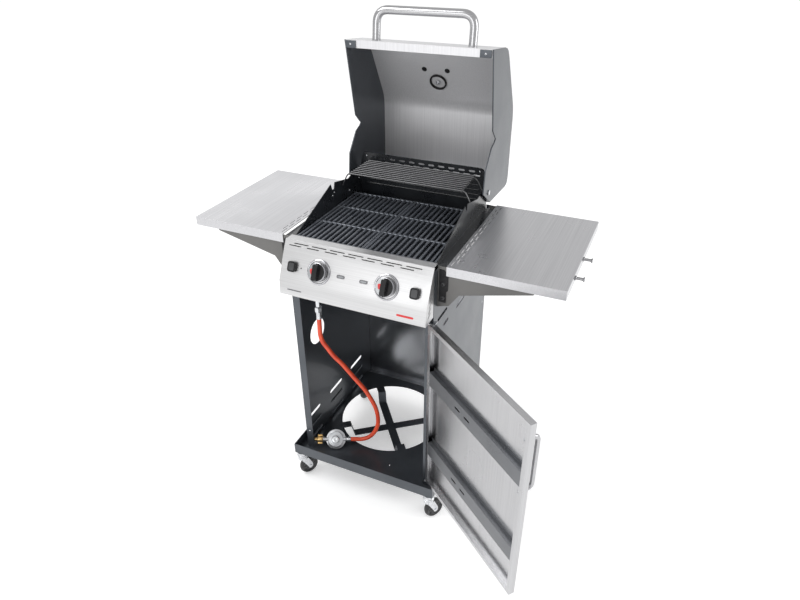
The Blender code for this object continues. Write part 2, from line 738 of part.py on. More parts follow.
def push_button(name, seat):
    """A square button on a round shank through the panel."""
    cap = rounded(rectangle((-0.0135, -0.0155), (0.0135, 0.0155)), 0.006, 2, closed=True)
    body = plate(name, [cap], 0.008, PLASTIC, seat, location=(0, 0, PUSH_ROOM + 0.004))
    join(body, cylinder(f"{name}_shank", 0.004, -0.014, PUSH_ROOM + 0.002, parent=seat, steps=12))


# ---------------------------------------------------------------- hose and regulator
def hose_parts():
    top = Vector(HOSE_ROUTE[0])
    turned(
        "hose_coupling",
        [(0, 0.0432), (0.0085, 0.0432), (0.0110, 0.0400), (0.0110, 0.0180), (0.0090, 0.0160),
         (0.0090, GAP), (0, GAP)],
        BRASS, location=top, steps=12,
    )
    tube = bpy.data.curves.new("hose", "CURVE")
    tube.dimensions = "3D"
    tube.bevel_depth = HOSE_RADIUS
    tube.bevel_resolution = 3
    tube.use_fill_caps = True
    route = smooth_route(HOSE_ROUTE, HOSE_STEP)
    spline = tube.splines.new("POLY")
    spline.points.add(len(route) - 1)
    for point, place in zip(spline.points, route):
        point.co = (*place, 1)
    piece("hose", tube, RUBBER)

    seat = axis("regulator_axis", REGULATOR_CENTRE, (REGULATOR_LEAN, 0, REGULATOR_HEADING))
    exit_reach = (Vector(HOSE_ROUTE[-1]) - Vector(REGULATOR_CENTRE)).length - GAP
    body = turned(
        "regulator",
        [(0, 0.0190), (0.0110, 0.0190), (0.0130, 0.0170), (0.0130, 0.0110), (0.0260, 0.0090),
         (REGULATOR_RADIUS, 0.0030), (REGULATOR_RADIUS, -0.0030), (0.0260, -0.0100), (0, -0.0120)],
        ZINC, seat, steps=28,
    )
    ferrule_radius, ferrule_length, port_end = 0.0088, 0.0122, -0.0450
    stub = cylinder(
        "regulator_ports", 0.0070, port_end, exit_reach - ferrule_length - GAP, parent=seat,
        rotation=SIDEWAYS, steps=12,
    )
    join(body, stub)
    ferrule = [
        (0, exit_reach), (ferrule_radius, exit_reach),
        (ferrule_radius, exit_reach - ferrule_length), (0, exit_reach - ferrule_length),
    ]
    turned("hose_ferrule", ferrule, ZINC, seat, rotation=SIDEWAYS, steps=16)
    nut = [
        (0, port_end - GAP), (0.0145, port_end - GAP), (0.0160, -0.0480), (0.0160, -0.0630),
        (0.0140, -0.0655), (0.0062, -0.0660), (0.0055, -0.0740), (0, -0.0740),
    ]
    turned("regulator_nut", nut, BRASS, seat, rotation=SIDEWAYS, steps=12)


# ---------------------------------------------------------------- grease tray
def grease_tray():
    """A shallow pan that slides out at the rear on the firebox's runners."""
    half = RUNNER_HALF - 0.0015
    bottom = FIREBOX_BOTTOM - RUNNER_DROP + GAP
    front, rear = FIREBOX_FRONT + 0.045, CABINET_REAR + 0.002
    top = bottom + 0.036
    pan = block("grease_tray", (-half, front, bottom), (half, rear, top), GALVANISED)
    wall = 0.0015
    cut(pan, block(
        "grease_hollow", (-half + wall, front + wall, bottom + wall),
        (half - wall, rear - wall, top + THROUGH),
    ))


# ---------------------------------------------------------------- lid
def from_pivot(y, z):
    """A place on the closed lid, measured from its pins."""
    return (y - PIVOT[0], z - PIVOT[1])


LID_FRONT_LOW = (CABINET_FRONT + 0.017, DECK_TOP + 0.0106)
LID_FRONT_HIGH = (CABINET_FRONT + 0.033, DECK_TOP + 0.159)
LID_TOP = (CABINET_FRONT + 0.241, DECK_TOP + 0.273)
LID_LIP = 0.0225


def lid_outer_path():
    r, d = CABINET_REAR, DECK_TOP
    corners = [LID_FRONT_LOW, LID_FRONT_HIGH, LID_TOP, (r + 0.003, d + 0.272), (r - 0.005, d + 0.074)]
    return rounded([from_pivot(*c) for c in corners], 0.030, 3)


def lid(hinge):
    r, d = CABINET_REAR, DECK_TOP
    outer = lid_outer_path()
    rim = [
        from_pivot(*p) for p in (
            (r - 0.058, d - 0.002), (r - 0.128, d + 0.007), (r - 0.187, d + 0.056), (r - 0.197, d + 0.082),
            (r - 0.205, d + 0.092), (r - 0.213, d + 0.082), (r - 0.237, d + 0.057),
        )
    ]
    for side, sign in SIDES:
        plate_x = sign * (LID_HALF - LID_SIDE / 2)
        holes = [disc(0, 0, LID_PIN_BORE, 12)]
        middle = (plate_x, 0, 0)
        plate(f"lid_side_{side}", [outer + rim] + holes, LID_SIDE, GRAPHITE, hinge, middle, UPRIGHT_SIDE)
    lip_end = Vector(from_pivot(LID_FRONT_LOW[0] + LID_LIP, LID_FRONT_LOW[1]))
    half = LID_HALF - LID_SIDE - GAP
    skin = plate("lid_skin", [band([lip_end] + outer, -SHEET)], 2 * half, STEEL, hinge, rotation=UPRIGHT_SIDE)
    low, high = Vector(LID_FRONT_LOW), Vector(LID_FRONT_HIGH)
    rise = (high - low).normalized()
    out = Vector((-rise.y, rise.x))
    reach, spread, bend = 0.084, 0.152, 0.050
    foot = Vector(from_pivot(*(low + rise * 0.056))) + out * GAP
    tip = foot + out * reach
    path = rounded([(-spread, *foot), (-spread, *tip), (spread, *tip), (spread, *foot)], bend, 6)
    rod("lid_handle", path, HANDLE_RADIUS, STEEL, hinge, sides=3)
    slope = (Vector(LID_TOP) - high).normalized()
    place = Vector(from_pivot(*high)) + slope * 0.150
    normal_turn = math.atan2(slope.y, slope.x)
    seat = axis("thermometer_axis", (-0.012, *place), (normal_turn, 0, 0), hinge)
    cut(skin, cylinder("thermometer_hole", 0.0060, -THROUGH, THROUGH, parent=seat, steps=16))
    dial = [
        (0, 0.0140), (0.0290, 0.0140), (0.0330, 0.0120), (0.0330, 0.0010), (0.0050, 0.0006),
        (0.0050, -0.0160), (0.0022, -0.0180), (0.0022, -0.0480), (0, -0.0480),
    ]
    turned("thermometer", dial, STEEL, seat, steps=28)


def lid_pin(name, sign):
    """A bolt through the lid's side and the firebox's ear, with its nut inside."""
    outside = LID_HALF + GAP
    inside = FIREBOX_HALF - FIREBOX_WALL - GAP
    profile = [
        (0, outside + 0.004), (0.0080, outside + 0.003), (0.0080, outside),
        (LID_PIN_RADIUS, outside), (LID_PIN_RADIUS, inside), (0.0070, inside),
        (0.0070, inside - 0.004), (0, inside - 0.004),
    ]
    turned(name, profile, ZINC, location=(0, *PIVOT), rotation=(0, sign * math.radians(90), 0), steps=16)


# ---------------------------------------------------------------- door
CHANNELS = {"upper": DOOR_TOP - 0.1795, "lower": DOOR_TOP - 0.4495}


def door(hinge):
    """A steel pan with returned lips, two stiffening channels and a bow handle."""
    low_x, high_x = DOOR_EDGE_PAST_PIN - DOOR_WIDTH, DOOR_EDGE_PAST_PIN
    half = DOOR_THICKNESS / 2
    wall, lip = 0.0015, 0.013
    pan = block("door_panel", (low_x, -half, DOOR_BOTTOM), (high_x, half, DOOR_TOP), STEEL, hinge)
    pocket = block(
        "door_pocket", (low_x + wall, -half + wall, DOOR_BOTTOM + wall),
        (high_x - wall, half - wall, DOOR_TOP - wall), parent=hinge,
    )
    mouth = block(
        "door_mouth", (low_x + lip, 0, DOOR_BOTTOM + lip),
        (high_x - lip, half + THROUGH, DOOR_TOP - lip), parent=hinge,
    )
    bore = cylinder(
        "door_pin_bore", DOOR_PIN_RADIUS + DOOR_PIN_CLEARANCE, DOOR_BOTTOM - THROUGH, DOOR_TOP + THROUGH,
        parent=hinge, steps=12,
    )
    cut(pan, pocket, mouth, bore)
    for name, middle in CHANNELS.items():
        tall, sheet = 0.046, 0.0012
        inner = -half + wall + GAP
        outer = half - sheet - GAP
        section = band([
            (inner, middle - tall / 2 - 0.012), (inner, middle - tall / 2), (outer, middle - tall / 2),
            (outer, middle + tall / 2), (inner, middle + tall / 2), (inner, middle + tall / 2 + 0.012),
        ], -sheet)
        start, end = low_x + lip + GAP, high_x - lip - GAP
        centre = ((start + end) / 2, 0, 0)
        plate(f"door_channel_{name}", [section], end - start, GALVANISED, hinge, centre, UPRIGHT_SIDE)
    x = low_x + 0.030
    top, bottom = DOOR_TOP - 0.075, DOOR_TOP - 0.245
    face = -half - 0.0006
    out = face - 0.036
    path = rounded([(x, face, top), (x, out, top), (x, out, bottom), (x, face, bottom)], 0.022, 4)
    rod("door_handle", path, 0.0062, STEEL, hinge)


def door_pin(name, z, direction):
    """A plate against the cabinet's post that carries a pin in the end of the door."""
    x, y = DOOR_PIN
    low, high = sorted((z, z + direction * SHEET))
    ear = block(name, (x - 0.012, y - 0.007, low), (x + 0.012, CABINET_FRONT - GAP, high), ZINC)
    tip = z - direction * 0.010
    ends = sorted((tip, z + direction * 0.001))
    join(ear, cylinder(f"{name}_pin", DOOR_PIN_RADIUS, *ends, location=(x, y, 0), steps=12))


# ---------------------------------------------------------------- casters
def caster(place, x, y, turn):
    swivel = axis(f"caster_axis_{place}", (x, y, 0), (0, 0, math.radians(turn)))
    top = TRAY_BOTTOM - GAP
    crown = WHEEL_RADIUS * 2 + 0.006
    profile = [
        (0, top), (0.0190, top), (0.0190, top - 0.003), (0.0070, top - 0.004), (0.0070, crown + 0.010),
        (0.0200, crown + 0.009), (0.0200, crown), (0, crown),
    ]
    fork = turned(f"caster_fork_{place}", profile, ZINC, swivel, steps=20)
    inner = WHEEL_WIDTH / 2 + 0.0015
    outer = inner + 0.0022
    trail = -CASTER_TRAIL
    leg = [
        (-0.012, crown + 0.003), (0.014, crown + 0.003), (-trail + 0.009, WHEEL_RADIUS - 0.004),
        (-trail, WHEEL_RADIUS - 0.010), (-trail - 0.009, WHEEL_RADIUS - 0.004),
    ]
    bridge = block(
        f"fork_bridge_{place}", (-outer, -0.014, crown), (outer, 0.012, crown + 0.003), parent=swivel
    )
    legs = []
    for side, sign in SIDES:
        offset = sign * (inner + outer) / 2
        legs.append(plate(
            f"fork_leg_{place}_{side}", [[(-u, v) for u, v in leg]], outer - inner, parent=swivel,
            location=(offset, 0, 0), rotation=UPRIGHT_SIDE,
        ))
    axle = cylinder(
        f"fork_axle_{place}", AXLE_RADIUS, -outer, outer, parent=swivel,
        location=(0, trail, WHEEL_RADIUS), rotation=SIDEWAYS, steps=12,
    )
    join(fork, bridge, *legs, axle)
    spin = axis(f"wheel_axis_{place}", (0, trail, WHEEL_RADIUS), SIDEWAYS, swivel)
    half = WHEEL_WIDTH / 2
    tread = [
        (WHEEL_BORE, half), (WHEEL_RADIUS - 0.005, half - 0.002), (WHEEL_RADIUS, half - 0.005),
        (WHEEL_RADIUS, -half + 0.005), (WHEEL_RADIUS - 0.005, -half + 0.002), (WHEEL_BORE, -half),
    ]
    turned(f"caster_wheel_{place}", tread, PLASTIC, spin)


# ---------------------------------------------------------------- assembly
base_tray()
bottle_strap("bottle_strap_a", math.radians(38), 0)
bottle_strap("bottle_strap_b", math.radians(-52), 0.0035)
for side, sign in SIDES:
    side_panel(f"side_panel_{side}", sign)
    shelf(f"shelf_{side}", sign)
    shelf_frame(f"shelf_frame_{side}", sign)
    burner(f"burner_{side}", sign * KNOB_X)
    heat_plate(f"heat_plate_{side}", sign * KNOB_X)
    grate(f"grate_{side}", sign)
    bezel(f"knob_bezel_{side}", sign * KNOB_X)
    knob_seat = face_axis(f"knob_axis_{side}", sign * KNOB_X, KNOB_UP)
    valve_stem(f"valve_stem_{side}", knob_seat)
    knob(f"knob_{side}", knob_seat)
    lid_pin(f"lid_pin_{side}", sign)
back_panel()
front_rail()
tool_peg("tool_peg_front", -0.098)
tool_peg("tool_peg_rear", 0.016)
firebox()
rear_baffle()
warming_rack()
control_panel()
gas_manifold()
push_button("igniter_button", face_axis("igniter_axis", -BUTTON_X, KNOB_UP))
push_button("light_button", face_axis("light_axis", BUTTON_X, KNOB_UP))
hose_parts()
grease_tray()
lid(axis("lid_axis", (0, *PIVOT), (-LID_OPEN, 0, 0)))
door(axis("door_axis", (*DOOR_PIN, 0), (0, 0, DOOR_OPEN)))
door_pin("door_pin_upper", DOOR_TOP + 0.0005, 1)
door_pin("door_pin_lower", DOOR_BOTTOM - 0.0005, -1)
for place, turn in CASTER_TURN.items():
    end, side = place.split("_")
    x = CASTER_X if side == "right" else -CASTER_X
    caster(place, x, CASTER_FRONT if end == "front" else CASTER_REAR, turn)


def stand_on_origin():
    """Moves the whole grill so that the box around it stands centred on the origin."""
    bpy.context.view_layer.update()
    graph = bpy.context.evaluated_depsgraph_get()
    places = []
    for obj in PARTS.objects:
        if obj.type == "EMPTY":
            continue
        evaluated = obj.evaluated_get(graph)
        mesh = evaluated.to_mesh()
        places += [evaluated.matrix_world @ vertex.co for vertex in mesh.vertices]
        evaluated.to_mesh_clear()
    middle_x = (min(p.x for p in places) + max(p.x for p in places)) / 2
    middle_y = (min(p.y for p in places) + max(p.y for p in places)) / 2
    loose = [obj for obj in [*PARTS.objects, *TOOLS.objects] if obj.parent is None]
    frame = axis("grill_frame", (-middle_x, -middle_y, 0))
    for obj in loose:
        obj.parent = frame


stand_on_origin()
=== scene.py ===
"""Two-burner gas barbecue on a cabinet cart, with its lid and door open: the looks around the frame.

Metres, +Z up, in the frame's own axes. The sections follow the object as it is put together.
"""

import json
import math

import bmesh
import bpy
from mathutils import Matrix, Vector


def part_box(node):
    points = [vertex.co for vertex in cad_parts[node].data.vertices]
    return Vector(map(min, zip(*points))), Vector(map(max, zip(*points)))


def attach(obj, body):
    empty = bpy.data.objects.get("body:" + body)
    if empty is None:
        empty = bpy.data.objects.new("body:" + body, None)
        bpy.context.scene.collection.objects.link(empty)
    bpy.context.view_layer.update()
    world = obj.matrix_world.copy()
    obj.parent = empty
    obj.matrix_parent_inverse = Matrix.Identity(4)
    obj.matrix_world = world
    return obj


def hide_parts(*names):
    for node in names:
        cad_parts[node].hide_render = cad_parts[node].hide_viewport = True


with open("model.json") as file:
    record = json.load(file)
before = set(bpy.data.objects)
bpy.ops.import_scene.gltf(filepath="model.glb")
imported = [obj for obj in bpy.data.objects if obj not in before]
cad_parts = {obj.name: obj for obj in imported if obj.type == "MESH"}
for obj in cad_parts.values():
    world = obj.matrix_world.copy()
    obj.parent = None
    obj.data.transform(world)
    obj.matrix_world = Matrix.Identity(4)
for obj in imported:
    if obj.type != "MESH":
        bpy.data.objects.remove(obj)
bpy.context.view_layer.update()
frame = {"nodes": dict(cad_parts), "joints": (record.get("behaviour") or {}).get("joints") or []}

# ------------------------------------------------------------------ studio and camera
# A pale seamless floor under broad soft boxes, as for a catalogue picture.
# The camera stands in front and to the right, above the shelves, looking down into the cart.
floor_mesh = bpy.data.meshes.new("studio_floor")
floor_bm = bmesh.new()
bmesh.ops.create_grid(floor_bm, x_segments=8, y_segments=8, size=30)
floor_bm.to_mesh(floor_mesh)
floor_bm.free()
studio_floor = bpy.data.objects.new("studio_floor", floor_mesh)
bpy.context.scene.collection.objects.link(studio_floor)
floor_paint = bpy.data.materials.new("studio_floor_paint")
floor_paint.use_nodes = True
floor_shader = floor_paint.node_tree.nodes["Principled BSDF"]
floor_shader.inputs["Base Color"].default_value = (0.93, 0.93, 0.93, 1)
floor_shader.inputs["Roughness"].default_value = 0.9
floor_shader.inputs["Specular IOR Level"].default_value = 0.1
floor_shader.inputs["Emission Color"].default_value = (1.0, 1.0, 1.0, 1)
floor_shader.inputs["Emission Strength"].default_value = 0.30
floor_mesh.materials.append(floor_paint)

world = bpy.data.worlds.new("studio_world")
bpy.context.scene.world = world
world.use_nodes = True
world.node_tree.nodes["Background"].inputs["Color"].default_value = (1.0, 1.0, 1.0, 1)
world.node_tree.nodes["Background"].inputs["Strength"].default_value = 0.80
bpy.context.scene.view_settings.view_transform = "Standard"


def soft_box(name, place, aim, width, height, power):
    """A rectangular area light turned towards a point."""
    light = bpy.data.lights.new(name, "AREA")
    light.shape = "RECTANGLE"
    light.size = width
    light.size_y = height
    light.energy = power
    lamp = bpy.data.objects.new(name, light)
    bpy.context.scene.collection.objects.link(lamp)
    lamp.location = place
    lamp.rotation_mode = "QUATERNION"
    lamp.rotation_quaternion = (Vector(aim) - Vector(place)).to_track_quat("-Z", "Y")


soft_box("key_box", (-1.6, -1.2, 3.2), (0, 0, 0.7), width=1.8, height=1.4, power=36)
soft_box("side_box", (3.0, 0.6, 2.0), (0, 0, 0.7), width=1.2, height=2.0, power=30)
soft_box("front_box", (-0.5, -3.4, 1.5), (0, 0, 0.9), width=2.2, height=1.6, power=20)
soft_box("back_box", (-2.7, 3.0, 2.5), (0, 0, 0.9), width=2.0, height=1.2, power=4.4)

camera_azimuth, camera_elevation, camera_roll = (math.radians(a) for a in (24.785, 31.2, 0.572))
camera_back = Vector((
    math.sin(camera_azimuth) * math.cos(camera_elevation),
    -math.cos(camera_azimuth) * math.cos(camera_elevation),
    math.sin(camera_elevation),
))
camera_data = bpy.data.cameras.new("studio_camera")
camera_data.sensor_width = 36
camera_data.lens = 28.84
camera_data.shift_x = 0.0035
camera_data.clip_start = 0.05
camera = bpy.data.objects.new("studio_camera", camera_data)
bpy.context.scene.collection.objects.link(camera)
camera.location = (0.7445, -1.5615, 1.714)
camera.rotation_mode = "QUATERNION"
level_look = (-camera_back).to_track_quat("-Z", "Y")
camera.rotation_quaternion = level_look @ Matrix.Rotation(-camera_roll, 4, "Z").to_quaternion()
bpy.context.scene.camera = camera

# ------------------------------------------------------------------ hose
# An orange rubber gas hose with a faint rib of moulding and a dull skin.
# It drops from the coupling under the panel, crosses the open cabinet and turns to the regulator.
# Every new piece is drawn in the cart's own coordinates, from its middle plane and the floor.
CABINET_FRONT = -0.220
cart_origin = Vector((
    sum(corner.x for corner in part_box("control_panel")) / 2,
    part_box("side_panel_left")[0].y - CABINET_FRONT,
    0,
))
HOSE_RADIUS = 0.0073
HOSE_ROUTE = [
    (-0.1530, -0.2005, 0.6510), (-0.1535, -0.2005, 0.6185), (-0.1535, -0.2005, 0.5900),
    (-0.1485, -0.1980, 0.5640), (-0.1385, -0.1920, 0.5420), (-0.1220, -0.1830, 0.5080),
    (-0.0995, -0.1700, 0.4725), (-0.0830, -0.1600, 0.4410), (-0.0655, -0.1500, 0.4080),
    (-0.0420, -0.1365, 0.3650), (-0.0245, -0.1260, 0.3215), (-0.0110, -0.1180, 0.2780),
    (-0.0050, -0.1150, 0.2340), (-0.0070, -0.1165, 0.2000), (-0.0185, -0.1220, 0.1680),
    (-0.0370, -0.1310, 0.1465), (-0.0585, -0.1415, 0.1390), (-0.0750, -0.1490, 0.1392),
    (-0.0922, -0.1567, 0.1392),
]


def effect_group(name, inputs, outputs):
    """An empty shader node group with named sockets, for an effect that several materials use."""
    group = bpy.data.node_groups.new(name, "ShaderNodeTree")
    for socket, kind, value in inputs:
        made = group.interface.new_socket(socket, in_out="INPUT", socket_type=kind)
        made.default_value = value
    for socket, kind in outputs:
        group.interface.new_socket(socket, in_out="OUTPUT", socket_type=kind)
    return group, group.nodes.new("NodeGroupInput"), group.nodes.new("NodeGroupOutput")


def noise(tree, vector, scale, detail, scale_socket=None):
    """A noise texture's value on a given vector."""
    node = tree.nodes.new("ShaderNodeTexNoise")
    node.inputs["Scale"].default_value = scale
    node.inputs["Detail"].default_value = detail
    tree.links.new(vector, node.inputs["Vector"])
    if scale_socket is not None:
        tree.links.new(scale_socket, node.inputs["Scale"])
    return node.outputs["Fac"]


def remap(tree, value, low, high, new_low, new_high):
    """A value moved from one range to another, and held inside it."""
    node = tree.nodes.new("ShaderNodeMapRange")
    for socket, number in zip(("From Min", "From Max", "To Min", "To Max"), (low, high, new_low, new_high)):
        node.inputs[socket].default_value = number
    tree.links.new(value, node.inputs["Value"])
    return node.outputs["Result"]


# Fine speckle and slow blotches, which keep paint, rubber, plastic and castings from being one flat tone.
surface_life, life_in, life_out = effect_group(
    "surface_life",
    [("Grain Scale", "NodeSocketFloat", 900), ("Blotch Scale", "NodeSocketFloat", 7)],
    [("Grain", "NodeSocketFloat"), ("Blotch", "NodeSocketFloat")],
)
life_place = surface_life.nodes.new("ShaderNodeTexCoord").outputs["Object"]
life_grain = noise(surface_life, life_place, 900, 2, life_in.outputs["Grain Scale"])
life_blotch = noise(surface_life, life_place, 7, 3, life_in.outputs["Blotch Scale"])
surface_life.links.new(life_grain, life_out.inputs["Grain"])
surface_life.links.new(remap(surface_life, life_blotch, 0.3, 0.7, 0, 1), life_out.inputs["Blotch"])


def toned(tree, mask, dark, light):
    """A colour between two, by a mask."""
    mix = tree.nodes.new("ShaderNodeMix")
    mix.data_type = "RGBA"
    sockets = {socket.identifier: socket for socket in [*mix.inputs, *mix.outputs]}
    sockets["A_Color"].default_value = (*dark, 1)
    sockets["B_Color"].default_value = (*light, 1)
    tree.links.new(mask, sockets["Factor_Float"])
    return sockets["Result_Color"]


def bumped(tree, height, strength, distance):
    """A normal from a height."""
    bump = tree.nodes.new("ShaderNodeBump")
    bump.inputs["Strength"].default_value = strength
    bump.inputs["Distance"].default_value = distance
    tree.links.new(height, bump.inputs["Height"])
    return bump.outputs["Normal"]


def bare_material(name, effect_tree):
    """A new material with a shared effect placed in it: the material, its tree, shader and effect."""
    made = bpy.data.materials.new(name)
    made.use_nodes = True
    tree = made.node_tree
    effect = tree.nodes.new("ShaderNodeGroup")
    effect.node_tree = effect_tree
    return made, tree, tree.nodes["Principled BSDF"], effect


def lively(name, dark, light, rough, metal=0.0, grain=900, blotch=7, bump=0.2, depth=0.0002, coat=0.0):
    """A material whose tone wanders between two colours, with a fine bump and uneven gloss."""
    made, tree, shader, life = bare_material(name, surface_life)
    life.inputs["Grain Scale"].default_value = grain
    life.inputs["Blotch Scale"].default_value = blotch
    tree.links.new(toned(tree, life.outputs["Blotch"], dark, light), shader.inputs["Base Color"])
    gloss = remap(tree, life.outputs["Blotch"], 0, 1, rough - 0.05, rough + 0.05)
    tree.links.new(gloss, shader.inputs["Roughness"])
    tree.links.new(bumped(tree, life.outputs["Grain"], bump, depth), shader.inputs["Normal"])
    shader.inputs["Metallic"].default_value = metal
    shader.inputs["Coat Weight"].default_value = coat
    shader.inputs["Coat Roughness"].default_value = 0.12
    return made


def dress(obj, material, slot):
    """Gives a piece or a frame node its material; its slot argument is not used."""
    obj.data.materials.clear()
    obj.data.materials.append(material)
    return obj


def place_piece(name, mesh, material, slot, body, *nodes, seat=None):
    """A new piece that rides on a body and may stand for frame nodes."""
    obj = bpy.data.objects.new(name, mesh)
    bpy.context.scene.collection.objects.link(obj)
    obj.matrix_world = Matrix.Translation(cart_origin) @ (seat or Matrix.Identity(4))
    dress(obj, material, slot)
    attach(obj, body)
    if nodes:
        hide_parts(*nodes)
    return obj


def smooth_path(points, fine=6):
    """Points on one smooth curve through the given ones."""
    points = [Vector(p) for p in points]
    padded = [2 * points[0] - points[1], *points, 2 * points[-1] - points[-2]]
    dense = []
    for a, b, c, d in zip(padded, padded[1:], padded[2:], padded[3:]):
        for k in range(fine):
            t = k / fine
            square = (2 * a - 5 * b + 4 * c - d) * t**2
            cube = (3 * b - a - 3 * c + d) * t**3
            dense.append(0.5 * (2 * b + (c - a) * t + square + cube))
    return [*dense, points[-1]]


def add_wire(curve, points):
    """One more run of tube in the same curve."""
    spline = curve.splines.new("POLY")
    spline.points.add(len(points) - 1)
    for point, place in zip(spline.points, points):
        point.co = (*place, 1)
    spline.use_smooth = True


def tube_curve(name, points, radius, round_steps=6):
    """A round tube along a path, as a curve with closed ends."""
    curve = bpy.data.curves.new(name, "CURVE")
    curve.dimensions = "3D"
    curve.bevel_depth = radius
    curve.bevel_resolution = round_steps
    curve.use_fill_caps = True
    add_wire(curve, points)
    return curve


hose_rubber = lively("hose_rubber", (0.62, 0.055, 0.022), (0.80, 0.095, 0.035), 0.42, grain=1400, blotch=22)
hose_points = smooth_path(HOSE_ROUTE)
gas_hose = place_piece(
    "gas_hose", tube_curve("gas_hose", hose_points, HOSE_RADIUS), hose_rubber, "hose_rubber", "cart", "hose"
)


# ------------------------------------------------------------------ gas fittings
# A zinc coupling at the top of the hose, and at its foot a ferrule, a pressed regulator and a
# winged brass nut for the bottle. The regulator's face is stepped, with a bright cap in its middle.
zinc_plate = lively("zinc_plate", (0.56, 0.57, 0.59), (0.70, 0.71, 0.73), 0.27, 1.0, 1200, 60, 0.12)
ZINC = (zinc_plate, "zinc")
die_cast = lively("die_cast_silver", (0.50, 0.51, 0.53), (0.62, 0.63, 0.65), 0.36, 0.85, 1500, 40, 0.3)
raw_brass = lively("raw_brass", (0.58, 0.36, 0.13), (0.78, 0.54, 0.25), 0.30, 1.0, 900, 50, 0.2)
WELD = 1e-6
TURNED_SHARP, CAST_SHARP = 32, 50
UNMOVED = Matrix.Identity(4)


def mesh_from(bm, name, sharp=None):
    """The mesh of some faces; given an angle in degrees, it is smooth up to that angle."""
    mesh = bpy.data.meshes.new(name)
    bm.to_mesh(mesh)
    bm.free()
    if sharp is not None:
        mesh.shade_smooth()
        mesh.set_sharp_from_angle(angle=math.radians(sharp))
    return mesh


def lathe_mesh(name, profile, steps=48):
    """A closed (radius, height) profile, down its outer side, turned about local Z."""
    bm = bmesh.new()
    points = [bm.verts.new((r, 0, z)) for r, z in profile]
    edges = [bm.edges.new(pair) for pair in zip(points, points[1:])]
    if profile[0][0] > 0:
        edges.append(bm.edges.new((points[-1], points[0])))
    bmesh.ops.spin(
        bm, geom=points + edges, cent=(0, 0, 0), axis=(0, 0, 1), angle=2 * math.pi, steps=steps
    )
    bmesh.ops.remove_doubles(bm, verts=bm.verts, dist=WELD)
    bmesh.ops.recalc_face_normals(bm, faces=bm.faces)
    return mesh_from(bm, name, TURNED_SHARP)


def turned(degrees, axis):
    """A turn about one axis."""
    return Matrix.Rotation(math.radians(degrees), 4, axis)


def turned_to(place, direction):
    """A seat whose local Z points along a direction."""
    return Matrix.Translation(Vector(place)) @ Vector(direction).to_track_quat("Z", "Y").to_matrix().to_4x4()


def joined_mesh(name, parts):
    """One mesh from several (mesh, matrix) pairs."""
    bm = bmesh.new()
    for mesh, matrix in parts:
        before = len(bm.verts)
        bm.from_mesh(mesh)
        bm.verts.ensure_lookup_table()
        bmesh.ops.transform(bm, matrix=matrix, verts=bm.verts[before:])
    result = mesh_from(bm, name)
    for mesh in {mesh for mesh, _ in parts}:
        bpy.data.meshes.remove(mesh)
    return result


def ridged_sleeve(radius, low, high, ridges, depth=0.0006):
    """A crimped sleeve's profile, from its top down."""
    pitch = (high - low) / ridges
    profile = [(0, high)]
    for k in range(ridges):
        top = high - k * pitch
        profile += [(radius - depth, top), (radius, top - 0.25 * pitch), (radius, top - 0.75 * pitch)]
    return [*profile, (radius - depth, low), (0, low)]


hose_start, hose_end = Vector(HOSE_ROUTE[0]), Vector(HOSE_ROUTE[-1])
COUPLING_HEX = [
    (0, 0.0432), (0.0092, 0.0432), (0.0112, 0.0412), (0.0112, 0.0262), (0.0092, 0.0245), (0, 0.0245),
]
coupling_tail = ridged_sleeve(radius=0.0092, low=0.0004, high=0.0246, ridges=5)
place_piece(
    "hose_coupling_nut",
    joined_mesh("hose_coupling_nut", [
        (lathe_mesh("coupling_hex", COUPLING_HEX, 6), UNMOVED),
        (lathe_mesh("coupling_tail", coupling_tail), UNMOVED),
    ]),
    *ZINC, "cart", "hose_coupling", seat=Matrix.Translation(hose_start),
)
REGULATOR_CENTRE = Vector((-0.1400, -0.1780, 0.1392))
REGULATOR_HEADING, REGULATOR_LEAN = 24, 52
regulator_seat = (
    Matrix.Translation(REGULATOR_CENTRE) @ turned(REGULATOR_HEADING, "Z") @ turned(REGULATOR_LEAN, "X")
)
sideways = turned(90, "Y")
FERRULE_GAP, FERRULE_LENGTH = 0.0003, 0.0122
exit_reach = (hose_end - REGULATOR_CENTRE).length - FERRULE_GAP
hose_sleeve = place_piece(
    "hose_sleeve",
    lathe_mesh("hose_sleeve", ridged_sleeve(0.0088, exit_reach - FERRULE_LENGTH, exit_reach, 3)),
    *ZINC, "cart", "hose_ferrule", seat=regulator_seat @ sideways,
)
REGULATOR_DISC = [
    (0, 0.0100), (0.0142, 0.0100), (0.0150, 0.0084), (0.0205, 0.0076), (0.0215, 0.0090),
    (0.0250, 0.0086), (0.0262, 0.0066), (0.0310, 0.0044), (0.0334, 0.0040), (0.0340, 0.0026),
    (0.0340, -0.0026), (0.0330, -0.0036), (0.0262, -0.0096), (0.0120, -0.0118), (0, -0.0120),
]
tail_end = exit_reach - FERRULE_LENGTH - FERRULE_GAP
REGULATOR_TAILS = [
    (0, tail_end), (0.0062, tail_end), (0.0062, 0.0360), (0.0074, 0.0350),
    (0.0074, -0.0420), (0.0088, -0.0425), (0.0088, -0.0450), (0, -0.0450),
]
RIVET = [(0, 0.0016), (0.0013, 0.0013), (0.0018, 0), (0, -0.0005)]
RIVET_COUNT, RIVET_RING, RIVET_HEIGHT, FIRST_RIVET = 6, 0.0288, 0.0056, 0.3
regulator_parts = [
    (lathe_mesh("regulator_disc", REGULATOR_DISC, 72), UNMOVED),
    (lathe_mesh("regulator_tails", REGULATOR_TAILS), sideways),
]
for k in range(RIVET_COUNT):
    around = Matrix.Rotation(FIRST_RIVET + 2 * math.pi * k / RIVET_COUNT, 4, "Z")
    seat = around @ Matrix.Translation((RIVET_RING, 0, RIVET_HEIGHT))
    regulator_parts.append((lathe_mesh(f"regulator_rivet_{k}", RIVET, 12), seat))
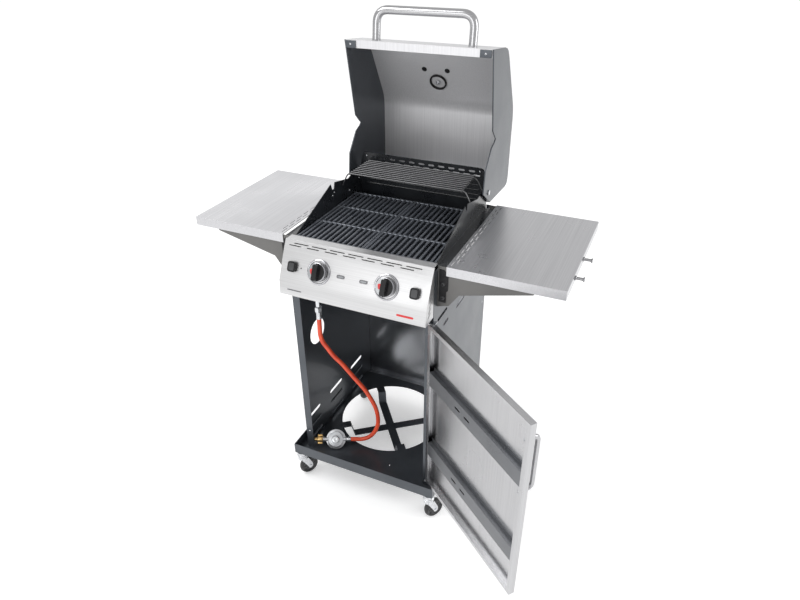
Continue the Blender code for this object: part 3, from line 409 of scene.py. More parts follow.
regulator_shell = place_piece(
    "regulator_shell", joined_mesh("regulator_shell", regulator_parts),
    die_cast, "zinc", "cart", "regulator", seat=regulator_seat,
)
REGULATOR_CAP = [
    (0, 0.0152), (0.0028, 0.0154), (0.0034, 0.0188), (0.0060, 0.0190), (0.0112, 0.0184),
    (0.0126, 0.0170), (0.0130, 0.0101), (0, 0.0101),
]
regulator_cap = place_piece(
    "regulator_cap", lathe_mesh("regulator_cap", REGULATOR_CAP), *ZINC, "cart", seat=regulator_seat
)


def small_block(name, size, edge=0.0010):
    """A small rounded block of a given size on its three axes."""
    bm = bmesh.new()
    bmesh.ops.create_cube(bm, size=1)
    bmesh.ops.scale(bm, vec=size, verts=bm.verts)
    bmesh.ops.bevel(bm, geom=bm.edges[:], offset=edge, segments=3, profile=0.6, affect="EDGES")
    return mesh_from(bm, name, CAST_SHARP)


NUT_BARREL = [
    (0, -0.0453), (0.0102, -0.0453), (0.0112, -0.0465), (0.0112, -0.0630), (0.0100, -0.0650),
    (0.0064, -0.0656), (0.0060, -0.0740), (0.0042, -0.0745), (0, -0.0745),
]
NUT_WING, WING_COUNT, WING_RING, WING_ALONG = (0.0150, 0.0062, 0.0170), 4, 0.0090, -0.0552
nut_parts = [(lathe_mesh("nut_barrel", NUT_BARREL), sideways)]
for k in range(WING_COUNT):
    around = Matrix.Rotation(2 * math.pi * k / WING_COUNT, 4, "Z")
    seat = sideways @ around @ Matrix.Translation((WING_RING, 0, WING_ALONG))
    nut_parts.append((small_block(f"nut_wing_{k}", NUT_WING, 0.0018), seat))
bottle_nut = place_piece(
    "bottle_nut", joined_mesh("bottle_nut", nut_parts),
    raw_brass, "brass", "cart", "regulator_nut", seat=regulator_seat,
)

# ------------------------------------------------------------------ cart
# Pressed steel sheet with a graphite powder coat: a tray with a round hole for the bottle, two
# slotted sides turned in at the front, a front rail and a bright back sheet, all screwed together.
powder_coat = lively(
    "graphite_powder_coat", (0.060, 0.068, 0.079), (0.082, 0.091, 0.104), 0.36, 0.55, 1500, 9, 0.30, coat=0.25
)
GRAPHITE = (powder_coat, "graphite_paint")
SIDES = (("left", -1), ("right", 1))


def flat_mesh(name, outlines, thickness):
    """Flat outlines with holes, given a thickness about their own plane."""
    curve = bpy.data.curves.new(name, "CURVE")
    curve.dimensions = "2D"
    curve.fill_mode = "BOTH"
    curve.extrude = thickness / 2
    for outline in outlines:
        spline = curve.splines.new("POLY")
        spline.points.add(len(outline) - 1)
        for point, (u, v) in zip(spline.points, outline):
            point.co = (u, v, 0, 1)
        spline.use_cyclic_u = True
    guide = bpy.data.objects.new(name, curve)
    bpy.context.scene.collection.objects.link(guide)
    mesh = bpy.data.meshes.new_from_object(guide.evaluated_get(bpy.context.evaluated_depsgraph_get()))
    bpy.data.objects.remove(guide)
    bpy.data.curves.remove(curve)
    bm = bmesh.new()
    bm.from_mesh(mesh)
    bmesh.ops.remove_doubles(bm, verts=bm.verts, dist=WELD)
    bmesh.ops.recalc_face_normals(bm, faces=bm.faces)
    bm.to_mesh(mesh)
    bm.free()
    return mesh


def long_hole(u, v, length, height, lean=0.0):
    """A slot's outline with round ends, leaning by an angle."""
    reach, radius = (length - height) / 2, height / 2
    ends = [(reach, -math.pi / 2), (-reach, math.pi / 2)]
    points = []
    for middle, start in ends:
        for k in range(7):
            turn = start + math.pi * k / 6
            points.append((middle + radius * math.cos(turn), radius * math.sin(turn)))
    c, s = math.cos(lean), math.sin(lean)
    return [(u + a * c - b * s, v + a * s + b * c) for a, b in points]


def soft_edges(obj, width, segments=2):
    """Small rounded edges, as folding, casting or grinding leaves them."""
    bevel = obj.modifiers.new("soft_edges", "BEVEL")
    bevel.width = width
    bevel.segments = segments
    bevel.limit_method = "ANGLE"
    bevel.angle_limit = math.radians(32)
    flatten = obj.modifiers.new("flat_faces", "WEIGHTED_NORMAL")
    flatten.weight = 100


def settle(obj):
    """Turns a piece's modifiers into its own mesh."""
    graph = bpy.context.evaluated_depsgraph_get()
    shaped = bpy.data.meshes.new_from_object(obj.evaluated_get(graph))
    obj.modifiers.clear()
    obj.data = shaped


def worked(piece, edge, cuts=(), segments=2):
    """Cuts a piece by flat (mesh, seat) tools, softens its edges and makes that its own mesh."""
    tools = []
    for tool_mesh, seat in cuts:
        tool = bpy.data.objects.new("punch", tool_mesh)
        bpy.context.scene.collection.objects.link(tool)
        tool.matrix_world = Matrix.Translation(cart_origin) @ seat
        tools.append(tool)
        punch = piece.modifiers.new("punch", "BOOLEAN")
        punch.object = tool
        punch.operation = "DIFFERENCE"
    soft_edges(piece, edge, segments)
    bpy.context.view_layer.update()
    settle(piece)
    for tool in tools:
        bpy.data.objects.remove(tool)


def refined(node, finish, body, edge=0.0005, cuts=()):
    """A frame node's own solid, cut and with soft edges, as the piece that stands for that node."""
    bm = bmesh.new()
    bm.from_mesh(frame["nodes"][node].data)
    bmesh.ops.translate(bm, vec=-cart_origin, verts=bm.verts)
    bmesh.ops.remove_doubles(bm, verts=bm.verts, dist=1e-5)
    bmesh.ops.dissolve_limit(bm, angle_limit=math.radians(0.6), verts=bm.verts, edges=bm.edges)
    bmesh.ops.triangulate(bm, faces=bm.faces)
    mesh = mesh_from(bm, f"{node}_pressed")
    mesh.shade_smooth()
    worked(place_piece(f"{node}_pressed", mesh, *finish, body, node), edge, cuts)


def screws(name, places, body, finish, radius):
    """Round-headed socket screws at (place, direction) pairs, joined as one piece."""
    head = [
        (0, -0.0002), (0.34 * radius, -0.0002), (0.36 * radius, 0.52 * radius),
        (0.60 * radius, 0.50 * radius), (0.86 * radius, 0.34 * radius), (radius, 0.08 * radius),
        (radius, -0.0004), (0, -0.0004),
    ]
    parts = []
    for k, (place, direction) in enumerate(places):
        parts.append((lathe_mesh(f"{name}_{k}", head, 20), turned_to(place, direction)))
    place_piece(name, joined_mesh(name, parts), *finish, body)


refined("base_tray", GRAPHITE, "cart", edge=0.0007)
for node in ("bottle_strap_a", "bottle_strap_b"):
    refined(node, GRAPHITE, "cart")
for node in ("side_panel_left", "side_panel_right", "front_rail"):
    refined(node, GRAPHITE, "cart", edge=0.0006)
CABINET_HALF, FLANGE_SCREW_INSET, TRAY_FLOOR = 0.2295, 0.013, 0.110
SIDE_SCREWS = (
    (-0.190, 0.170), (0.240, 0.170), (-0.190, 0.700), (0.240, 0.640), (0.185, 0.735), (0.240, 0.560),
)
FLANGE_SCREW_HEIGHTS = (0.185, 0.745)
TRAY_SCREWS = ((0.072, -0.188), (-0.205, -0.235))
cart_screws = []
for _, sign in SIDES:
    for y, z in SIDE_SCREWS:
        cart_screws.append(((sign * CABINET_HALF, y, z), (sign, 0, 0)))
    for z in FLANGE_SCREW_HEIGHTS:
        cart_screws.append(((sign * (CABINET_HALF - FLANGE_SCREW_INSET), CABINET_FRONT, z), (0, -1, 0)))
for x, y in TRAY_SCREWS:
    cart_screws.append(((x, y, TRAY_FLOOR), (0, 0, 1)))
screws("cart_screws", cart_screws, "cart", ZINC, radius=0.0034)
galvanised = lively("galvanised_sheet", (0.33, 0.34, 0.36), (0.38, 0.39, 0.41), 0.22, 1.0, 700, 6, 0.02)
GALVANISED = (galvanised, "galvanised")
refined("back_panel", GALVANISED, "cart")
refined("grease_tray", GALVANISED, "grease_tray")

# ------------------------------------------------------------------ casters
# Zinc-plated swivel casters: a bolted plate with a ball race, two tapered legs and an axle, on a
# moulded wheel with a hard black tread and a recessed hub.
CASTER_TRAIL, WHEEL_RADIUS, WHEEL_HALF = 0.020, 0.034, 0.011
CROWN = 2 * WHEEL_RADIUS + 0.006
tread_rubber = lively("caster_tread", (0.010, 0.010, 0.011), (0.020, 0.020, 0.021), 0.40, 0, 1100, 30, 0.25)
hub_plastic = lively("caster_hub", (0.030, 0.031, 0.033), (0.048, 0.049, 0.052), 0.38, 0, 1100, 30, 0.2)
upright = turned(90, "Z") @ turned(90, "X")
LEG_OUTLINE = [
    (0.012, CROWN + 0.003), (-0.013, CROWN + 0.003), (-0.027, 0.046), (-0.0288, 0.036),
    (-0.0270, 0.0285), (-0.0205, 0.0245), (-0.0140, 0.0275), (-0.0118, 0.034),
]
LEG_THICKNESS, LEG_APART = 0.0022, 0.0136
FORK_RACE = [
    (0, 0.1077), (0.0190, 0.1077), (0.0190, 0.1050), (0.0165, 0.1040), (0.0172, 0.0965), (0.0190, 0.0945),
    (0.0190, 0.0900), (0.0165, 0.0885), (0.0120, 0.0870), (0.0165, 0.0842), (0.0170, CROWN), (0, CROWN),
]
FORK_AXLE = [
    (0, 0.0178), (0.0036, 0.0176), (0.0052, 0.0168), (0.0052, 0.0148), (0.0040, 0.0146),
    (0.0040, -0.0146), (0.0052, -0.0148), (0.0052, -0.0168), (0.0036, -0.0176), (0, -0.0178),
]
HUB = [
    (0.0046, 0.0108), (0.0088, 0.0108), (0.0100, 0.0070), (0.0228, 0.0062), (0.0249, 0.0094),
    (0.0249, -0.0094), (0.0228, -0.0062), (0.0100, -0.0070), (0.0088, -0.0108), (0.0046, -0.0108),
]
tread = [(0.0250, 0.0096), (0.0292, WHEEL_HALF)]
for k in range(9):
    turn = math.pi * (0.5 - k / 8)
    tread.append((0.0296 + 0.0044 * math.cos(turn), 0.0064 * math.sin(turn) + 0.0034 * math.sin(turn) ** 3))
tread += [(0.0292, -WHEEL_HALF), (0.0250, -0.0096)]
HUB_RIB, RIB_COUNT, RIB_RING = (0.0150, 0.0022, 0.0160), 8, 0.0165
axle_seat = Matrix.Translation((0, -CASTER_TRAIL, WHEEL_RADIUS)) @ sideways
for joint in frame["joints"]:
    if not joint["name"].startswith("swivel_"):
        continue
    place = joint["name"].removeprefix("swivel_")
    roll = next(j for j in frame["joints"] if j["name"] == f"roll_{place}")
    pivot = Vector((joint["pos_m"][0], joint["pos_m"][1], 0)) - cart_origin
    trail = (Vector(roll["pos_m"]) - cart_origin - pivot) * Vector((1, 1, 0))
    turn = math.atan2(trail.x, -trail.y)
    swivel = Matrix.Translation(pivot * Vector((1, 1, 0))) @ Matrix.Rotation(turn, 4, "Z")
    parts = [
        (lathe_mesh("fork_race", FORK_RACE), UNMOVED),
        (small_block("fork_bridge", (0.0300, 0.0260, 0.0030), 0.0008),
         Matrix.Translation((0, -0.001, CROWN + 0.0015))),
        (lathe_mesh("fork_axle", FORK_AXLE, 24), axle_seat),
    ]
    for side, sign in SIDES:
        leg = flat_mesh(f"fork_leg_{side}", [LEG_OUTLINE], LEG_THICKNESS)
        parts.append((leg, Matrix.Translation((sign * LEG_APART, 0, 0)) @ upright))
    place_piece(
        f"caster_yoke_{place}", joined_mesh(f"caster_yoke_{place}", parts), *ZINC, f"fork_{place}",
        f"caster_fork_{place}", seat=swivel,
    )
    place_piece(
        f"caster_tyre_{place}", lathe_mesh(f"caster_tyre_{place}", tread, 64), tread_rubber, "wheel_plastic",
        f"wheel_{place}", f"caster_wheel_{place}", seat=swivel @ axle_seat,
    )
    hub_parts = [(lathe_mesh("hub_core", HUB), UNMOVED)]
    for k in range(RIB_COUNT):
        around = Matrix.Rotation(2 * math.pi * k / RIB_COUNT, 4, "Z")
        rib = small_block(f"hub_rib_{k}", HUB_RIB, 0.0005)
        hub_parts.append((rib, around @ Matrix.Translation((RIB_RING, 0, 0))))
    place_piece(
        f"caster_hub_{place}", joined_mesh(f"caster_hub_{place}", hub_parts),
        hub_plastic, "wheel_plastic", f"wheel_{place}", seat=swivel @ axle_seat,
    )

# ------------------------------------------------------------------ side shelves
# Brushed stainless trays turned upside down on painted wings, with two rows of short slots along
# the inner edge. Two black screws hold each wing to the cabinet; the right shelf has two pegs.
brushed_grain, grain_in, grain_out = effect_group(
    "brushed_grain",
    [("Stretch", "NodeSocketVector", (3, 420, 420)), ("Turn", "NodeSocketVector", (0, 0, 0))],
    [("Streak", "NodeSocketFloat"), ("Smudge", "NodeSocketFloat")],
)
grain_map = brushed_grain.nodes.new("ShaderNodeMapping")
grain_place = brushed_grain.nodes.new("ShaderNodeTexCoord").outputs["Object"]
brushed_grain.links.new(grain_place, grain_map.inputs["Vector"])
brushed_grain.links.new(grain_in.outputs["Stretch"], grain_map.inputs["Scale"])
brushed_grain.links.new(grain_in.outputs["Turn"], grain_map.inputs["Rotation"])
grain_streak = noise(brushed_grain, grain_map.outputs["Vector"], 1, 4)
grain_smudge = noise(brushed_grain, grain_place, 4.5, 3)
brushed_grain.links.new(remap(brushed_grain, grain_streak, 0.3, 0.7, 0, 1), grain_out.inputs["Streak"])
brushed_grain.links.new(remap(brushed_grain, grain_smudge, 0.3, 0.7, 0, 1), grain_out.inputs["Smudge"])


def stainless(name, stretch, dark, light, rough, turn=(0, 0, 0), spread=0.05, metal=1.0):
    """Brushed steel whose lines run where its grain is stretched, with faint handling marks."""
    made, tree, shader, grain = bare_material(name, brushed_grain)
    grain.inputs["Stretch"].default_value = stretch
    grain.inputs["Turn"].default_value = turn
    tree.links.new(toned(tree, grain.outputs["Streak"], dark, light), shader.inputs["Base Color"])
    gloss = remap(tree, grain.outputs["Smudge"], 0, 1, rough - spread, rough + spread)
    tree.links.new(gloss, shader.inputs["Roughness"])
    tree.links.new(bumped(tree, grain.outputs["Streak"], 0.04, 0.0002), shader.inputs["Normal"])
    shader.inputs["Metallic"].default_value = metal
    return made


ALONG_X, ALONG_Y, ALONG_Z = (3, 420, 420), (420, 3, 420), (420, 420, 3)
DECK_TOP, SHELF_INNER, SHELF_REACH, SHELF_FRONT = 0.916, 0.254, 0.570, -0.200
shelf_steel = stainless("shelf_steel", ALONG_Y, (0.50, 0.50, 0.515), (0.58, 0.58, 0.595), 0.30)
wing_paint = lively(
    "wing_paint", (0.115, 0.113, 0.110), (0.145, 0.142, 0.138), 0.36, 0.5, 1500, 9, 0.3, coat=0.2
)
SLOT_LENGTH, SLOT_WIDTH, SLOT_PITCH, SLOT_COUNT = 0.026, 0.0024, 0.0385, 11
SLOT_ROWS = ((0.0095, 0.0), (0.0185, 0.5))
lying = Matrix.Translation((0, 0, DECK_TOP))
for side, sign in SIDES:
    slots = []
    for row, offset in SLOT_ROWS:
        for k in range(SLOT_COUNT):
            v = SHELF_FRONT + 0.026 + (k + offset) * SLOT_PITCH
            slots.append(long_hole(sign * (SHELF_INNER + row), v, SLOT_LENGTH, SLOT_WIDTH, math.radians(90)))
    shelf_cuts = [(flat_mesh("shelf_slots", slots, 0.010), lying)]
    refined(f"shelf_{side}", (shelf_steel, "stainless"), "cart", edge=0.0011, cuts=shelf_cuts)
    refined(f"shelf_frame_{side}", (wing_paint, "graphite_paint"), "cart")
black_plastic = lively("black_plastic", (0.010, 0.010, 0.011), (0.020, 0.020, 0.021), 0.32, 0, 1900, 25, 0.3)
black_plastic.node_tree.nodes["Principled BSDF"].inputs["Specular IOR Level"].default_value = 0.2
PLASTIC = (black_plastic, "black_plastic")
SOFT_BLACK = (hub_plastic, "black_plastic")
BRACKET_PLATE = [
    (0.2345, 0.9050), (0.2475, 0.9050), (0.2600, 0.8900), (0.2600, 0.8440), (0.2550, 0.8400),
    (0.2550, 0.8060), (0.2345, 0.8060),
]
BRACKET_THICKNESS, BRACKET_BACK = 0.0018, 0.0012
bracket_seat = Matrix.Translation((0, SHELF_FRONT + BRACKET_BACK, 0)) @ turned(90, "X")
for side, sign in SIDES:
    plate = [(sign * x, z) for x, z in BRACKET_PLATE]
    place_piece(
        f"wing_bracket_{side}", flat_mesh(f"wing_bracket_{side}", [plate], BRACKET_THICKNESS),
        *PLASTIC, "cart", seat=bracket_seat,
    )
WING_SCREW_OUT, WING_SCREW_HEIGHTS = 0.016, (0.862, 0.820)
wing_screws = [
    ((sign * (CABINET_HALF + WING_SCREW_OUT), SHELF_FRONT + 0.0002, z), (0, -1, 0))
    for _, sign in SIDES for z in WING_SCREW_HEIGHTS
]
screws("shelf_wing_screws", wing_screws, "cart", SOFT_BLACK, radius=0.0062)
PEG = [
    (0, 0.0250), (0.0052, 0.0250), (0.0065, 0.0240), (0.0065, 0.0216), (0.0052, 0.0206), (0.0040, 0.0200),
    (0.0040, 0.0044), (0.0052, 0.0030), (0.0065, 0.0022), (0.0065, 0.0003), (0, 0.0003),
]
PEG_DROP = 0.0135
peg_steel = stainless("peg_steel", ALONG_X, (0.26, 0.26, 0.27), (0.34, 0.34, 0.35), 0.22)
for name, y in (("front", -0.098), ("rear", 0.016)):
    place_piece(
        f"peg_{name}", lathe_mesh(f"peg_{name}", PEG), peg_steel, "stainless", "cart", f"tool_peg_{name}",
        seat=turned_to((SHELF_REACH, y, DECK_TOP - PEG_DROP), (1, 0, 0)),
    )

# ------------------------------------------------------------------ firebox
# Black enamelled sheet with high sides at the rear, which hold the lid's hinge bolts, a slotted
# baffle behind the rack, steel tube burners and folded heat plates under the grates.
enamel = lively("black_enamel", (0.007, 0.008, 0.010), (0.014, 0.016, 0.019), 0.28, 0, 600, 12, 0.2, coat=0.3)
ENAMEL = (enamel, "black_enamel")
refined("firebox", ENAMEL, "cart", edge=0.0006)
FIREBOX_REAR, BAFFLE_FACE = 0.240, 0.0046
BAFFLE_SLOTS, BAFFLE_PITCH, BAFFLE_SLOT_UP = 12, 0.034, 0.094
facing = Matrix.Translation((0, FIREBOX_REAR - 0.004, 0)) @ turned(90, "X")
second_row = [
    long_hole((k - (BAFFLE_SLOTS - 1) / 2) * BAFFLE_PITCH, DECK_TOP + BAFFLE_SLOT_UP, 0.022, 0.0052)
    for k in range(BAFFLE_SLOTS)
]
baffle_cuts = [(flat_mesh("baffle_slots", second_row, 0.02), facing)]
refined("rear_baffle", ENAMEL, "cart", edge=0.0004, cuts=baffle_cuts)
LOUVRE_COUNT, LOUVRE_PITCH, LOUVRE_RADIUS = 4, 0.016, 0.0022
for k in range(LOUVRE_COUNT):
    z = DECK_TOP + (k + 1) * LOUVRE_PITCH
    rib = [(x, FIREBOX_REAR - BAFFLE_FACE, z) for x in (-0.196, -0.190, 0.190, 0.196)]
    place_piece(
        f"baffle_louvre_{k}", tube_curve(f"baffle_louvre_{k}", rib, LOUVRE_RADIUS, 4), *ENAMEL, "cart"
    )
for side, _ in SIDES:
    dress(frame["nodes"][f"burner_{side}"], peg_steel, "stainless")
    dress(frame["nodes"][f"heat_plate_{side}"], *ENAMEL)
CHEEK_INNER, CHEEK_SCREWS = 0.2195, ((0.040, 0.951), (0.052, 0.958), (0.150, 0.930), (0.220, 0.950))
BAFFLE_SCREW_X, BAFFLE_SCREW_UP = 0.196, 0.108
firebox_screws = []
for _, sign in SIDES:
    for y, z in CHEEK_SCREWS:
        firebox_screws.append(((sign * CHEEK_INNER, y, z), (-sign, 0, 0)))
for _, sign in SIDES:
    place = (sign * BAFFLE_SCREW_X, FIREBOX_REAR - BAFFLE_FACE, DECK_TOP + BAFFLE_SCREW_UP)
    firebox_screws.append((place, (0, -1, 0)))
screws("firebox_screws", firebox_screws, "cart", ZINC, radius=0.0030)

# ------------------------------------------------------------------ grates and warming rack
# Two cast iron grates in glossy enamel: round-topped bars from front to rear, tied by cross bars.
# Above them at the rear lies a rack of steel wires, which stands on four bent feet.
# The grates' grey-blue colour is painted sheen: the glossy black enamel is lightened to stand in for the
# highlights along the bars.
grate_enamel_painted_sheen = lively(
    "grate_enamel_painted_sheen", (0.090, 0.100, 0.120), (0.140, 0.152, 0.175), 0.30, 0.5, 700, 30, 0.45, coat=0.5
)
GRATE_FRONT, GRATE_REAR, GRATE_TOP, GRATE_BARS = -0.1867, 0.186, 0.913, 13
GRATE_INNER, GRATE_OUTER = 0.0006, 0.2180
BAR_HALF, BAR_DEPTH = 0.0040, 0.0118
# TIE_OVERHANG is how far the rear cross bar stands out behind the ends of the long bars.
TIE_COUNT, TIE_DEPTH, TIE_DROP, TIE_OVERHANG = 4, 0.0100, 0.0003, 0.0014


def bar_mesh(name, half, depth, length):
    """A cast bar with a round top, along local Y from 0."""
    top = [(half * math.cos(math.pi * k / 6), 0.0022 * (math.sin(math.pi * k / 6) - 1)) for k in range(7)]
    outline = [*top, (-0.62 * half, -depth), (0.62 * half, -depth)]
    bm = bmesh.new()
    rings = [[bm.verts.new((u, y, v)) for u, v in outline] for y in (0, length)]
    for a, b in zip(range(len(outline)), [*range(1, len(outline)), 0]):
        bm.faces.new((rings[0][a], rings[0][b], rings[1][b], rings[1][a]))
    bm.faces.new(rings[0])
    bm.faces.new(rings[1][::-1])
    bmesh.ops.recalc_face_normals(bm, faces=bm.faces)
    return mesh_from(bm, name, CAST_SHARP)


grate_width = GRATE_OUTER - GRATE_INNER
grate_length = GRATE_REAR - GRATE_FRONT
tie_spacing = (grate_length - 2 * BAR_HALF + TIE_OVERHANG) / (TIE_COUNT - 1)
across = turned(-90, "Z")
for side, sign in SIDES:
    parts = []
    for k in range(GRATE_BARS + 1):
        x = GRATE_INNER + min(max(k * grate_width / GRATE_BARS, BAR_HALF), grate_width - BAR_HALF)
        seat = Matrix.Translation((sign * x, GRATE_FRONT, GRATE_TOP))
        parts.append((bar_mesh(f"bar_{k}", BAR_HALF, BAR_DEPTH, grate_length), seat))
    start = GRATE_INNER if sign > 0 else -GRATE_OUTER
    for k in range(TIE_COUNT):
        y = GRATE_FRONT + BAR_HALF + k * tie_spacing
        seat = Matrix.Translation((start, y, GRATE_TOP - TIE_DROP)) @ across
        parts.append((bar_mesh(f"tie_{k}", BAR_HALF, TIE_DEPTH, grate_width), seat))
    grate = joined_mesh(f"cast_grate_{side}", parts)
    place_piece(f"cast_grate_{side}", grate, grate_enamel_painted_sheen, "cast_iron", "cart", f"grate_{side}")
rack_wire = lively("rack_wire", (0.15, 0.15, 0.155), (0.19, 0.19, 0.195), 0.36, 0.8, 300, 9, 0.02)
RACK_Z, RACK_HALF, RACK_FRONT, RACK_REAR = DECK_TOP + 0.096, 0.186, 0.092, 0.226
WIRE_RADIUS, WIRE_GAPS, CROSS_WIRE_DROP = 0.0020, 9, 0.0035
FOOT_IN_FRONT, FOOT_IN_REAR = 0.010, 0.012
FOOT_BEND = ((-0.004, -0.002), (0.010, -0.008), (0.022, -0.028), (0.0312, -0.047))
front_wire = [(-RACK_HALF, RACK_FRONT, RACK_Z), (RACK_HALF, RACK_FRONT, RACK_Z)]
rack_curve = tube_curve("rack_wires", front_wire, WIRE_RADIUS, 4)
for k in range(1, WIRE_GAPS + 1):
    y = RACK_FRONT + (RACK_REAR - RACK_FRONT) * k / WIRE_GAPS
    add_wire(rack_curve, [(-RACK_HALF, y, RACK_Z), (RACK_HALF, y, RACK_Z)])
for x in (-RACK_HALF, 0, RACK_HALF):
    z = RACK_Z - CROSS_WIRE_DROP
    add_wire(rack_curve, [(x, RACK_FRONT, z), (x, RACK_REAR, z)])
for _, sign in SIDES:
    for y in (RACK_FRONT + FOOT_IN_FRONT, RACK_REAR - FOOT_IN_REAR):
        foot = [(sign * (RACK_HALF + out), y, RACK_Z + up) for out, up in FOOT_BEND]
        add_wire(rack_curve, smooth_path(foot, 4))
place_piece("rack_wires", rack_curve, rack_wire, "stainless", "cart", "warming_rack")

# ------------------------------------------------------------------ control panel
# A folded brushed fascia with two staggered rows of vent slots in its upper bevel and slanting
# slots in its cheeks. Between the knobs sit two small lamps; plain bars stand on its lower strip.
PANEL_BEND = Vector((0, -0.2743, 0.8093))
VENT_BEND = Vector((0, -0.2336, 0.8946))
PANEL_TOP = Vector((0, -0.2195, 0.9180))
FACE_UP = (VENT_BEND - PANEL_BEND).normalized()
VENT_UP = (PANEL_TOP - VENT_BEND).normalized()
KNOB_X, KNOB_UP, BUTTON_X = 0.105, 0.045, 0.190


def on_slope(corner, rise, x, up, out=0.0):
    """A seat on a sloping face: local Y runs up it, and local Z straight out of it."""
    outward = Vector((0, -rise.z, rise.y))
    seat = Matrix.Identity(4)
    for column, direction in enumerate((Vector((1, 0, 0)), rise, outward)):
        seat.col[column] = (*direction, 0)
    seat.translation = corner + rise * up + outward * out + Vector((x, 0, 0))
    return seat


VENT_ROWS = ((-0.1751, 0.0168, 0.047), (-0.1940, 0.0098, 0.040))
VENT_PITCH, VENT_WIDTH, VENT_COUNT = 0.0580, 0.0026, 7
vents = []
for first, up, length in VENT_ROWS:
    vents += [long_hole(first + k * VENT_PITCH, up, length, VENT_WIDTH) for k in range(VENT_COUNT)]
CHEEK_SLOT, CHEEK_STEP, CHEEK_COUNT = (-0.2395, 0.8460), (0.0035, 0.0145), 5
CHEEK_LENGTH, CHEEK_WIDTH, CHEEK_LEAN = 0.022, 0.0044, math.radians(33)
cheek_slots = []
for k in range(CHEEK_COUNT):
    y, z = CHEEK_SLOT[0] - k * CHEEK_STEP[0], CHEEK_SLOT[1] - k * CHEEK_STEP[1]
    cheek_slots.append(long_hole(y, z, CHEEK_LENGTH, CHEEK_WIDTH, CHEEK_LEAN))
panel_steel = stainless("panel_steel", ALONG_X, (0.52, 0.52, 0.525), (0.60, 0.60, 0.605), 0.34, metal=0.85)
panel_cuts = [
    (flat_mesh("vents", vents, 0.012), on_slope(VENT_BEND, VENT_UP, 0, 0)),
    (flat_mesh("cheek_slots", cheek_slots, 0.6), upright),
]
refined("control_panel", (panel_steel, "stainless"), "cart", edge=0.0007, cuts=panel_cuts)


def rounded_rectangle(width, height, radius, steps=6):
    """An outline with round corners about its middle."""
    points = []
    for cx, cy, start in ((1, -1, -90), (1, 1, 0), (-1, 1, 90), (-1, -1, 180)):
        for k in range(steps + 1):
            turn = math.radians(start + 90 * k / steps)
            points.append((cx * (width / 2 - radius) + radius * math.cos(turn),
                           cy * (height / 2 - radius) + radius * math.sin(turn)))
    return points


def slab(name, outlines, low, high, finish, body, seat, edge, *nodes):
    """A flat piece between two heights of a seat, with its edges softened."""
    mesh = flat_mesh(name, outlines, high - low)
    mesh.shade_smooth()
    middle = seat @ Matrix.Translation((0, 0, (low + high) / 2))
    worked(place_piece(name, mesh, *finish, body, *nodes, seat=middle), edge, segments=3)


chrome = lively("chrome_plate", (0.44, 0.44, 0.46), (0.52, 0.52, 0.54), 0.14, 1.0, 900, 8, 0.02)
CHROME = (chrome, "chrome")
lamp_grey = lively("lamp_lens", (0.20, 0.21, 0.22), (0.28, 0.29, 0.30), 0.16, 0, 1500, 40, 0.05, coat=0.5)
mark_red = lively("red_enamel_mark", (0.56, 0.020, 0.022), (0.70, 0.035, 0.035), 0.35, 0, 1500, 60, 0.1)
mark_grey = lively("grey_enamel_mark", (0.10, 0.10, 0.11), (0.15, 0.15, 0.16), 0.35, 0, 1500, 60, 0.1)
RED_MARK, GREY_MARK = (mark_red, "black_plastic"), (mark_grey, "black_plastic")
LAMP_X, SPARK_X, FACE_GAP = 0.0355, -0.1630, 0.0002
lamp_frame = [rounded_rectangle(0.0235, 0.0095, 0.0035), rounded_rectangle(0.0195, 0.0060, 0.0024)]
lamp_lens = [rounded_rectangle(0.0192, 0.0057, 0.0024)]
spark_dot = [rounded_rectangle(0.0036, 0.0036, 0.0017)]
for side, sign in SIDES:
    seat = on_slope(PANEL_BEND, FACE_UP, sign * LAMP_X, KNOB_UP)
    slab(f"lamp_frame_{side}", lamp_frame, FACE_GAP, 0.0020, GREY_MARK, "cart", seat, 0.0005)
    slab(f"lamp_lens_{side}", lamp_lens, FACE_GAP, 0.0014, (lamp_grey, "chrome"), "cart", seat, 0.0004)
spark_seat = on_slope(PANEL_BEND, FACE_UP, SPARK_X, KNOB_UP)
slab("spark_dot", spark_dot, FACE_GAP, 0.0010, PLASTIC, "cart", spark_seat, 0.0003)
PANEL_FOOT = Vector((0, -0.2780, 0.7656))
STRIP_UP = (PANEL_BEND - PANEL_FOOT).normalized()
MARK_UP, MARK_LOW, MARK_HIGH = 0.0190, 0.0001, 0.0007
for name, x, width, height, mark in (
    ("plain_bar_left", -0.180, 0.046, 0.0034, GREY_MARK), ("plain_bar_right", 0.168, 0.050, 0.0062, RED_MARK),
):
    outline = [rounded_rectangle(width, height, height * 0.45)]
    slab(name, outline, MARK_LOW, MARK_HIGH, mark, "cart", on_slope(PANEL_FOOT, STRIP_UP, x, MARK_UP), 0.0002)
for node in ("gas_manifold", "door_pin_upper", "door_pin_lower"):
    dress(frame["nodes"][node], *ZINC)

# ------------------------------------------------------------------ knobs and buttons
# A chrome ring on the panel round each knob. The knob has a silver half with a small red drop and a
# black half with an upright grip; the two square buttons have a raised pad in a softened frame.
silver_plastic = lively("silver_plastic", (0.32, 0.33, 0.34), (0.40, 0.41, 0.42), 0.26, 0.7, 1400, 12, 0.1)
SILVER = (silver_plastic, "chrome")
STEM_BORE, KNOB_FACE_RADIUS, HALVES_GAP = 0.0046, 0.0254, 0.0030
KNOB_FACE, SILVER_TOP, BLACK_TOP = 0.0158, 0.0192, 0.0218


def half_disc(radius, sign, inset):
    """Half a round outline on one side of local Y, notched round the valve stem."""
    points = []
    for reach, first, last, count in ((radius, -90, 90, 24), (STEM_BORE, 90, -90, 6)):
        for k in range(count + 1):
            turn = math.radians(first + (last - first) * k / count)
            points.append((sign * max(reach * math.cos(turn), inset), reach * math.sin(turn)))
    return points


